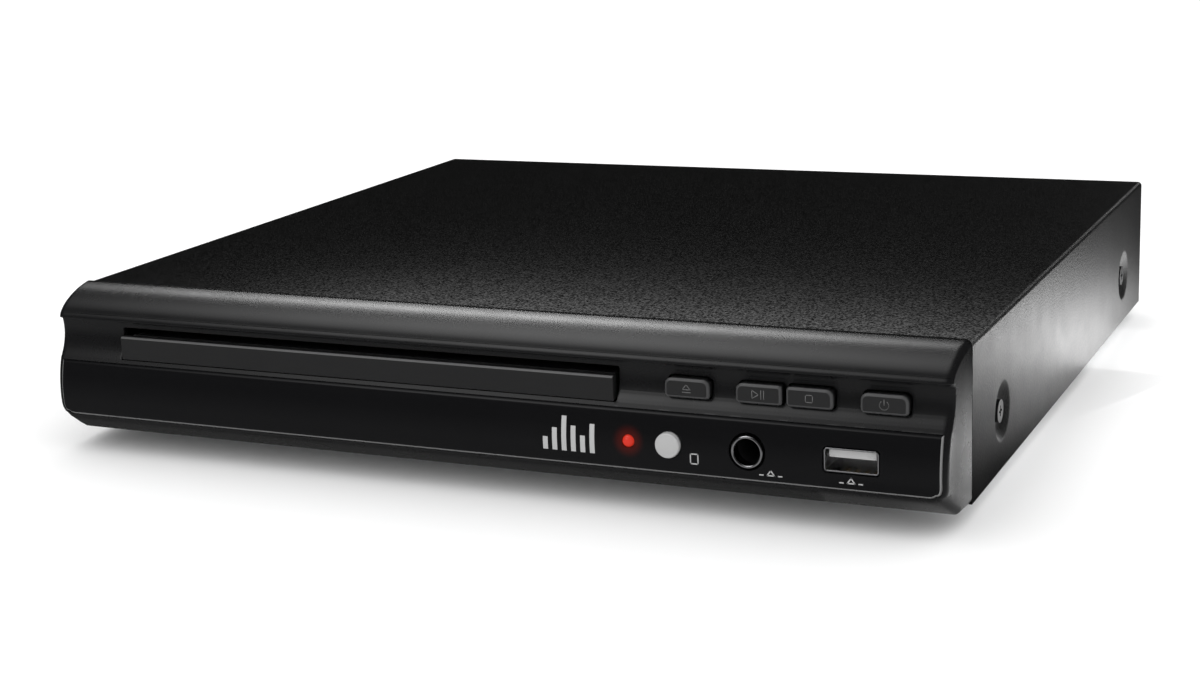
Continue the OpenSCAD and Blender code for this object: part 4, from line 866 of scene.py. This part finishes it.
panel_loops = (2.4, 3.0, 3.7, 4.5, 5.4, 6.6, 8.5, 12)
cheek_loops = (1.4, 1.9)
chamfer_loops = (-chamfer_y, -11, -13.5)
cut_both_ends(moulding, cheek_loops + panel_loops)
for y in chamfer_loops:
    cut(moulding, 1, y)
for axis in (0, 2):
    cut(moulding, axis, window[axis // 2])
    cut(moulding, axis, window[axis // 2 + 2])
print("window", open_hole(moulding, window))
draw_in_corners(moulding)
print("slot", cut_hole(moulding, slot, (slot_r,) * 4))
for name, hole in zip(key_names, key_holes):
    print(name, cut_hole(moulding, hole, (small_r, small_r) + key_corner_r[name]))
close_up(moulding, 2e-6)
face_outwards(moulding, forward, outer=lambda x, y, z: y < -14)
print("after the holes", len(moulding.faces))

# %% Wall of the moulding
wall_t = 1.6
soft_weight = moulding.edges.layers.float.new("bevel_weight_edge")
for e in border_where(moulding, lambda x, y, z: y < -5):
    e[soft_weight] = 1
front_piece = new_piece("front_moulding", moulding, black_plastic, "root", "front_bezel")
leave_out(off_front, front_piece)
add_wall(front_piece, wall_t)
soften_edges(front_piece, 0.3, 3)
lean_normals(front_piece, 70)
print("front moulding faces", len(front_piece.data.polygons))

# %% [markdown]
# ## The glossy panel
#
# The panel is a thin plate that follows the bow of the moulding behind it. It starts as a line of points
# along the bow, pulled out along X. Each round hole is cut as a square patch first. A circle of points is
# then bridged to the patch's edge, so the faces round it stay regular and the polish doesn't show dents. A
# narrow rim is set back all round. At the ends and below, the rim is painted light grey: a painted highlight.

# %% Panel plate
rim_w, rim_d = 0.5, 0.4
panel_w = window[2] - window[0] - 2 * panel_gap
bow_line = []
for row in range(face_rows + 1):
    z = mix(window[1] + panel_gap, window[3] - panel_gap, row / face_rows)
    bow_line.append((window[0] + panel_gap, face_y(z), z))
panel, end_edges = line_mesh(bow_line)
pull(panel, end_edges, x=panel_w)
cut_both_ends(panel, panel_loops)
draw_in_corners(panel)
rim_faces = bmesh.ops.inset_region(panel, faces=panel.faces[:], thickness=rim_w * MM, use_even_offset=True,
                                   use_boundary=True)["faces"]
rim_top = at(0, 0, window[3] - panel_gap - 1.2 * rim_w).z
# Rim faces at the ends and below take the second material, light grey: a painted highlight.
for f in rim_faces:
    f.material_index = 1 if f.calc_center_median().z < rim_top else 0
border = list({v for e in panel.edges if e.is_boundary for v in e.verts})
bmesh.ops.translate(panel, vec=(0, rim_d * MM, 0), verts=border)
print("panel", round(panel_w, 1), "wide, rim faces", len(rim_faces))

# %% Holes in the panel
hole_gap = 0.3
cap_x, jack_x, usb_x = middle_x("receiver_cap"), middle_x("jack_ring"), middle_x("usb_shell")
usb_low, usb_high = box_mm("usb_shell")
light_r, cap_r, jack_r, usb_r = 1.5, 3.1, 4.25, 1.1


def round_hole(mesh, hole_x, hole_z, radius, sides=32):
    """Cuts a square patch out of the panel and bridges its edge to a circle on the bow."""
    half = radius * 1.3
    rim_half = half + 0.01
    for axis, middle in ((0, hole_x), (2, hole_z)):
        cut(mesh, axis, middle - half)
        cut(mesh, axis, middle + half)
    remove_faces(mesh, faces_where(mesh, lambda x, y, z: near(x, hole_x, half) and near(z, hole_z, half)))
    rim = border_where(mesh, lambda x, y, z: near(x, hole_x, rim_half) and near(z, hole_z, rim_half))
    place = Matrix.Translation(at(hole_x, -front_d, hole_z)) @ Matrix.Rotation(math.pi / 2, 4, "X")
    ring = bmesh.ops.create_circle(mesh, cap_ends=False, segments=sides, radius=radius * MM,
                                   matrix=place)["verts"]
    for v in ring:
        vx, _, vz = millimetres(v.co)
        v.co = at(vx, face_y(vz), vz)
    bmesh.ops.bridge_loops(mesh, edges=rim + list({e for v in ring for e in v.link_edges}))
    return len(rim)


print("light", round_hole(panel, light_x, socket_z, light_r + hole_gap / 2, 24))
print("cap", round_hole(panel, cap_x, socket_z, cap_r + hole_gap / 2))
print("jack", round_hole(panel, jack_x, socket_z, jack_r + hole_gap, 40))
usb_hole = (usb_low[0] - hole_gap, usb_low[2] - hole_gap, usb_high[0] + hole_gap, usb_high[2] + hole_gap)
print("usb", cut_hole(panel, usb_hole, (usb_r,) * 4))
close_up(panel, 2e-6)
face_outwards(panel, forward)

# %% Panel's thickness and polished edge
panel_t = 1.2
panel_piece = new_piece("gloss_panel", panel, gloss_panel, "root", "lower_panel")
panel_piece.data.materials.append(painted_rim_highlight)
add_wall(panel_piece, panel_t)
soften_edges(panel_piece, 0.15, 2, angle=40)
lean_normals(panel_piece, 70)
print("panel faces", len(panel_piece.data.polygons))

# %% [markdown]
# ## The tray door
#
# The door is a plain bar with a rounded upper edge, painted lighter than the bar as a painted highlight.
# Behind it a rib joins it to the tray, so it rides on the tray's body.

# %% Tray door
door_t = 2.2
door_round = 0.75
rib_inset = 8
door = box_mesh(door_low, (door_high[0], door_low[1] + door_t, door_high[2]))
round_edges(door, edges_at(door, y=door_low[1], z=door_high[2]), door_round, 5)
# Faces of the rounded upper edge take the second, lighter material: a painted highlight.
for f in door.faces:
    f.normal_update()
    f.material_index = 1 if f.normal.z > 0.3 and f.normal.y < -0.3 else 0
add_box(door, (door_low[0] + rib_inset, door_low[1] + door_t - 0.05, door_low[2] + 1.2),
        (door_high[0] - rib_inset, door_high[1], door_high[2] - 1.6))
door_piece = new_piece("door_bar", door, door_plastic, "tray", "tray_door", edge=0.3,
                       segments=3)
door_piece.data.materials.append(painted_door_highlight)
print("door faces", len(door_piece.data.polygons))

# %% [markdown]
# ## The keys
#
# Each key is a small pillow: a block with rounded upper corners, whose front edge is rounded so far that only
# a narrow flat is left. That rounded border is painted lighter than the flat, a painted highlight. The lines
# of the symbols are thin bars that stand a few hundredths proud, as printed ink does.

# %% Key caps
key_front = box_mm("eject_key")[0][1]
key_back = box_mm("eject_key")[1][1]
flange_t = 0.8
pillow_r = 0.85


def key_cap(name, x):
    low = (x - key_w / 2, key_front, key_z - key_h / 2)
    high = (x + key_w / 2, key_back - flange_t + 0.01, key_z + key_h / 2)
    cap = box_mesh(low, high)
    for corner_x, radius in zip((low[0], high[0]), key_corner_r[name]):
        round_edges(cap, edges_at(cap, x=corner_x, z=high[2]), radius, 6 if radius > small_r else 3)
    lower = [e for e in edges_at(cap, z=low[2]) if near(e.verts[0].co.x, e.verts[1].co.x, 1e-6)]
    round_edges(cap, lower, small_r, 3)
    round_edges(cap, edges_at(cap, y=key_front), pillow_r, 6)
    # Faces of the rounded front border take the second, lighter material: a painted highlight.
    for f in cap.faces:
        f.normal_update()
        f.material_index = 1 if -0.97 < f.normal.y < -0.15 else 0
    add_box(cap, (x - key_w / 2 + 0.5, key_back - flange_t, key_z - key_h / 2 - 1),
            (x + key_w / 2 - 0.5, key_back, key_z + key_h / 2 + 1))
    piece = new_piece(name + "_cap", cap, key_plastic, name, name)
    piece.data.materials.append(painted_key_highlight)
    lean_normals(piece, 60)


for name, x in zip(key_names, key_middles):
    key_cap(name, x)
print("keys at", [round(x, 1) for x in key_middles])

# %% Bars that draw a symbol
ink_proud = 0.03


def bar_symbol(mesh, x0, z0, x1, z1, y, width=0.2):
    """Adds a thin printed bar from (x0, z0) to (x1, z1), its face at y."""
    length = math.hypot(x1 - x0, z1 - z0)
    turn = math.atan2(z1 - z0, x1 - x0)
    verts = bmesh.ops.create_cube(mesh, size=1.0)["verts"]
    bmesh.ops.scale(mesh, vec=((length + width) * MM, 2 * ink_proud * MM, width * MM), verts=verts)
    bmesh.ops.rotate(mesh, cent=(0, 0, 0), matrix=Matrix.Rotation(-turn, 3, "Y"), verts=verts)
    bmesh.ops.translate(mesh, vec=at((x0 + x1) / 2, y, (z0 + z1) / 2), verts=verts)


def line_symbol(mesh, points, y, width=0.2):
    for (x0, z0), (x1, z1) in zip(points, points[1:]):
        bar_symbol(mesh, x0, z0, x1, z1, y, width)


def outline_symbol(mesh, points, y, width=0.2):
    line_symbol(mesh, points + points[:1], y, width)


print("bars are", ink_proud, "mm proud")

# %% Symbols on the keys
def eject_mark(mesh, x):
    low = key_z - 0.2
    outline_symbol(mesh, [(x - 1.0, low), (x + 1.0, low), (x, low + 1.2)], key_front)
    bar_symbol(mesh, x - 1.0, key_z - 0.85, x + 1.0, key_z - 0.85, key_front)


def play_mark(mesh, x):
    outline_symbol(mesh, [(x - 1.5, key_z - 1.0), (x - 1.5, key_z + 1.0), (x + 0.1, key_z)], key_front)
    for bar_x in (x + 0.7, x + 1.4):
        bar_symbol(mesh, bar_x, key_z - 1.0, bar_x, key_z + 1.0, key_front)


def stop_mark(mesh, x):
    half = 0.85
    outline_symbol(mesh, [(x - half, key_z - half), (x + half, key_z - half), (x + half, key_z + half),
                          (x - half, key_z + half)], key_front)


def power_mark(mesh, x):
    radius, arc_steps = 1.1, 12
    turns = [math.radians(mix(130, 410, i / arc_steps)) for i in range(arc_steps + 1)]
    arc = [(x + radius * math.cos(a), key_z - 0.1 + radius * math.sin(a)) for a in turns]
    line_symbol(mesh, arc, key_front)
    bar_symbol(mesh, x, key_z, x, key_z + 1.25, key_front)


for name, x, draw in zip(key_names, key_middles, (eject_mark, play_mark, stop_mark, power_mark)):
    symbol = bmesh.new()
    draw(symbol, x)
    new_piece(name + "_symbol", symbol, key_print, name)
print("symbols printed")

# %% [markdown]
# ## The light, the cap and the sockets
#
# The round ones are turned shapes, so each is a short profile spun round its own axis. The profile of the
# chrome ring is a half circle, because a round edge is what gives a plated ring its one bright line. The USB
# socket is a sleeve of folded metal: a block whose front is inset and pushed in.

# %% Status light
light_depth = 4.0
dome_steps = 8
red_light = surface("red_light", (0.38, 0.015, 0.01), 0.22, tone=0.1, height_mm=0.0002)
red_shader = red_light.node_tree.nodes["Principled BSDF"]
red_shader.inputs["Emission Color"].default_value = (1.0, 0.07, 0.03, 1)
red_shader.inputs["Emission Strength"].default_value = 0.25
dome = [(0.0, light_r)]
for step in range(1, dome_steps + 1):
    a = math.pi / 2 * step / dome_steps
    dome.append((light_r * math.sin(a), light_r * math.cos(a)))
dome += [(light_r, -light_depth), (0.0, -light_depth)]
light_mesh = spun(dome, at(light_x, box_mm("status_light")[0][1] + light_r, socket_z), 32)
new_piece("status_dome", light_mesh, red_light, "root", "status_light", edge=0.05)
print("points of the dome", len(dome))

# %% Receiver's cap
cap_low, cap_high = box_mm("receiver_cap")
cap_back = cap_low[1] - cap_high[1]
cap_plastic = surface("cap_plastic", (0.40, 0.40, 0.40), 0.45, tone=0.08, grain_mm=0.4, height_mm=0.001)
cap_profile = [(0.0, 0.0), (cap_r - 0.75, 0.0), (cap_r - 0.6, -0.05), (cap_r - 0.5, -0.02),
               (cap_r - 0.3, -0.06), (cap_r - 0.1, -0.2), (cap_r, -0.45), (cap_r, cap_back), (0.0, cap_back)]
cap_mesh = spun(cap_profile, at(cap_x, cap_low[1], socket_z), 48)
new_piece("cap_disc", cap_mesh, cap_plastic, "root", "receiver_cap", edge=0.03)
print("cap", round(-cap_back, 2), "deep")

# %% Microphone socket's ring
ring_low, ring_high = box_mm("jack_ring")
bore_r = 3.25
bead_steps = 8
ring_r = (ring_high[0] - ring_low[0]) / 2
bead_r = (ring_r - bore_r) / 2
ring_depth = ring_high[1] - ring_low[1]
ring_profile = [(bore_r, -ring_depth)]
for step in range(bead_steps + 1):
    a = math.pi - math.pi * step / bead_steps
    ring_profile.append((bore_r + bead_r + bead_r * math.cos(a), -bead_r + bead_r * math.sin(a)))
ring_profile += [(ring_r, -ring_depth), (bore_r, -ring_depth)]
ring_mesh = spun(ring_profile, at(jack_x, ring_low[1], socket_z), 64)
new_piece("socket_ring", ring_mesh, plating, "root", "jack_ring")
print("ring bead", round(bead_r, 2))

# %% USB shell
shell_wall = 0.35
shell_depth = 14
shell_r = 0.8
shell = box_mesh(usb_low, usb_high)
along = [e for e in shell.edges if near(e.verts[0].co.x, e.verts[1].co.x, 1e-6) and
         near(e.verts[0].co.z, e.verts[1].co.z, 1e-6)]
round_edges(shell, along, shell_r, 5)
mouth = faces_where(shell, lambda x, y, z: near(y, usb_low[1]))
bmesh.ops.inset_region(shell, faces=mouth, thickness=shell_wall * MM, use_even_offset=True)
pull(shell, mouth, y=shell_depth)
remove_faces(shell, [f for f in mouth if f.is_valid])
bmesh.ops.recalc_face_normals(shell, faces=shell.faces[:])
new_piece("usb_sleeve", shell, plating, "root", "usb_shell", edge=0.09)
print("shell", round(usb_high[0] - usb_low[0], 1), "wide")

# %% USB tongue and contacts
tongue_half = 5.55
tongue_under, tongue_over = socket_z + 0.2, socket_z + 2.2
contact_w, contact_d, contact_t = 1.0, 7, 0.1
tongue_front, tongue_back = box_mm("usb_tongue")[0][1] + 1.4, -3
tongue_plastic = surface("tongue_plastic", (0.42, 0.42, 0.42), 0.45, height_mm=0.001)
tongue = box_mesh((usb_x - tongue_half, tongue_front, tongue_under),
                  (usb_x + tongue_half, tongue_back, tongue_over))
new_piece("usb_tongue_bar", tongue, tongue_plastic, "root", edge=0.15)
contacts = bmesh.new()
for place in (-3.5, -1.25, 1.25, 3.5):
    x, y, z = usb_x + place, tongue_front + 4.0, tongue_under - 0.02
    add_box(contacts, (x - contact_w / 2, y - contact_d / 2, z - contact_t / 2),
            (x + contact_w / 2, y + contact_d / 2, z + contact_t / 2))
gold = surface("gold", (0.9, 0.62, 0.2), 0.25, metallic=1.0, height_mm=0.0003)
new_piece("usb_contacts", contacts, gold, "root")
print("tongue and contacts at", round(usb_x, 1))

# %% [markdown]
# ## Marks on the panel
#
# The panel is printed in pale ink. The marks here are generic: level bars beside the light, an outlined
# square beside the cap, and a small pointer at each socket. The bars are strips that follow the curve of
# the panel, because a flat bar would sink into it at one end.

# %% Level bars
level_bars = bmesh.new()
bar_heights = (3.2, 5.6, 8.6, 6.4, 4.2, 7.2)
bar_step, bar_width, bar_foot, bar_rows = 2.5, 1.3, 9.6, 8
bar_start = light_x - 22
for place, height in enumerate(bar_heights):
    x = bar_start + place * bar_step - bar_width / 2
    rows = [bar_foot + height * row / bar_rows for row in range(bar_rows + 1)]
    line = [level_bars.verts.new(at(x, face_y(z) - ink_proud, z)) for z in rows]
    pull(level_bars, [level_bars.edges.new(pair) for pair in zip(line, line[1:])], x=bar_width)
face_outwards(level_bars, forward)
new_piece("level_bars", level_bars, pale_print, "root")
print("level bars", len(bar_heights))

# %% Square and pointers
square_left, square_low, square_high = half_w - 63, 9.4, 11.8
square_right = square_left + 1.9
pointer_low, pointer_high = 8.3, 9.5
mark_w = 0.3
marks = bmesh.new()
outline_symbol(marks, [(square_left, square_low), (square_right, square_low), (square_right, square_high),
                       (square_left, square_high)], face_y((square_low + square_high) / 2), mark_w)
pointer_y = face_y(pointer_high) - 0.02
for x in (jack_x + 5.8, usb_x):
    corners = [(x - 0.9, pointer_low), (x + 0.9, pointer_low), (x, pointer_high)]
    outline_symbol(marks, corners, pointer_y, mark_w)
    for dash_x in (x - 2.7, x + 1.9):
        bar_symbol(marks, dash_x, pointer_low, dash_x + 0.8, pointer_low, pointer_y, mark_w)
new_piece("panel_marks", marks, pale_print, "root")
print("pointers ready")

# %% [markdown]
# ## Finishes of the parts inside and behind
#
# Everything that keeps its plain shape takes the finish of its slot, which mostly has the slot's own name.
# All of them come from the one surface group: plates show a broad drift of tone, and mouldings a fine grain.

# %% Finishes by slot
surface("zinc", (0.50, 0.51, 0.52), 0.36, tone=0.35, gloss=0.25, grain_mm=3.0, metallic=1.0)
surface("board_green", (0.02, 0.13, 0.055), 0.33, tone=0.25, grain_mm=1.4, height_mm=0.01)
surface("board_brown", (0.26, 0.15, 0.06), 0.5, tone=0.3, grain_mm=1.0, height_mm=0.01)
surface("foot_rubber", (0.012, 0.012, 0.012), 0.8, grain_mm=0.5, height_mm=0.02)
surface("black_screws", (0.008, 0.008, 0.009), 0.42, specular=0.35, grain_mm=0.2)
surface("steel_screws", (0.55, 0.55, 0.57), 0.28, metallic=1.0, grain_mm=0.2)
surface("plunger_plastic", (0.62, 0.56, 0.44), 0.45, grain_mm=0.4)
surface("black_parts", (0.016, 0.016, 0.017), 0.42, grain_mm=0.4, height_mm=0.01)
surface("tray_plastic", (0.017, 0.017, 0.018), 0.4, grain_mm=0.6, height_mm=0.01)
surface("frame_plastic", (0.05, 0.05, 0.053), 0.5, grain_mm=0.8, height_mm=0.015)
surface("clamp_plastic", (0.66, 0.66, 0.63), 0.42, grain_mm=0.5)
surface("motor_steel", (0.52, 0.53, 0.54), 0.3, tone=0.25, metallic=1.0, grain_mm=0.6)
surface("pulley_brass", (0.62, 0.44, 0.17), 0.28, metallic=1.0, grain_mm=0.3)
surface("turntable_plastic", (0.04, 0.04, 0.043), 0.5, grain_mm=0.4, height_mm=0.01)
surface("lens_glass", (0.03, 0.05, 0.12), 0.08, grain_mm=0.3, height_mm=0.0002)
surface("capacitor_sleeve", (0.015, 0.02, 0.07), 0.35, grain_mm=0.5)
surface("transformer_core", (0.45, 0.34, 0.06), 0.4, tone=0.3, grain_mm=1.2, height_mm=0.02)
surface("ribbon", (0.60, 0.60, 0.57), 0.45, tone=0.2, grain_mm=0.7, height_mm=0.01)
slot_finishes = {"case_paint": "powder_coat", "front_plastic": "black_plastic",
                 "panel_plastic": "gloss_panel", "light_plastic": "red_light", "plated_metal": "plating",
                 "zinc_sheet": "zinc", "green_board": "board_green", "brown_board": "board_brown"}
print("finishes", len(finishes))

# %% Socket colours by column
socket_colours = surface("socket_colours", (0.6, 0.6, 0.58), 0.4, grain_mm=0.4)
column_tree = socket_colours.node_tree
inserts_low, inserts_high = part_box("av_socket_inserts")
column_place = add_node(column_tree, "TexCoord")
column_parts = add_node(column_tree, "SeparateXYZ")
column_fit = add_node(column_tree, "MapRange", {"From Min": inserts_low[0], "From Max": inserts_high[0]})
column_ramp = add_node(column_tree, "ValToRGB")
ramp = column_ramp.color_ramp
ramp.interpolation = "CONSTANT"
ramp.elements[0].color = (0.62, 0.42, 0.02, 1)
ramp.elements[1].position = 0.33
ramp.elements[1].color = (0.62, 0.62, 0.60, 1)
ramp.elements.new(0.67).color = (0.5, 0.02, 0.015, 1)
wire(column_tree, (column_place, "Object", column_parts, 0), (column_parts, "X", column_fit, "Value"),
     (column_fit, "Result", column_ramp, "Fac"), (column_ramp, "Color", column_tree.nodes["detail"], "Color"))
print("columns", len(ramp.elements))

# %% Give every kept part its finish
for row in frame["record"]["subparts"]:
    slot_name = row["material_slot"]
    materials = frame["nodes"][row["node"]].data.materials
    materials.clear()
    materials.append(finishes[slot_finishes.get(slot_name, slot_name)])
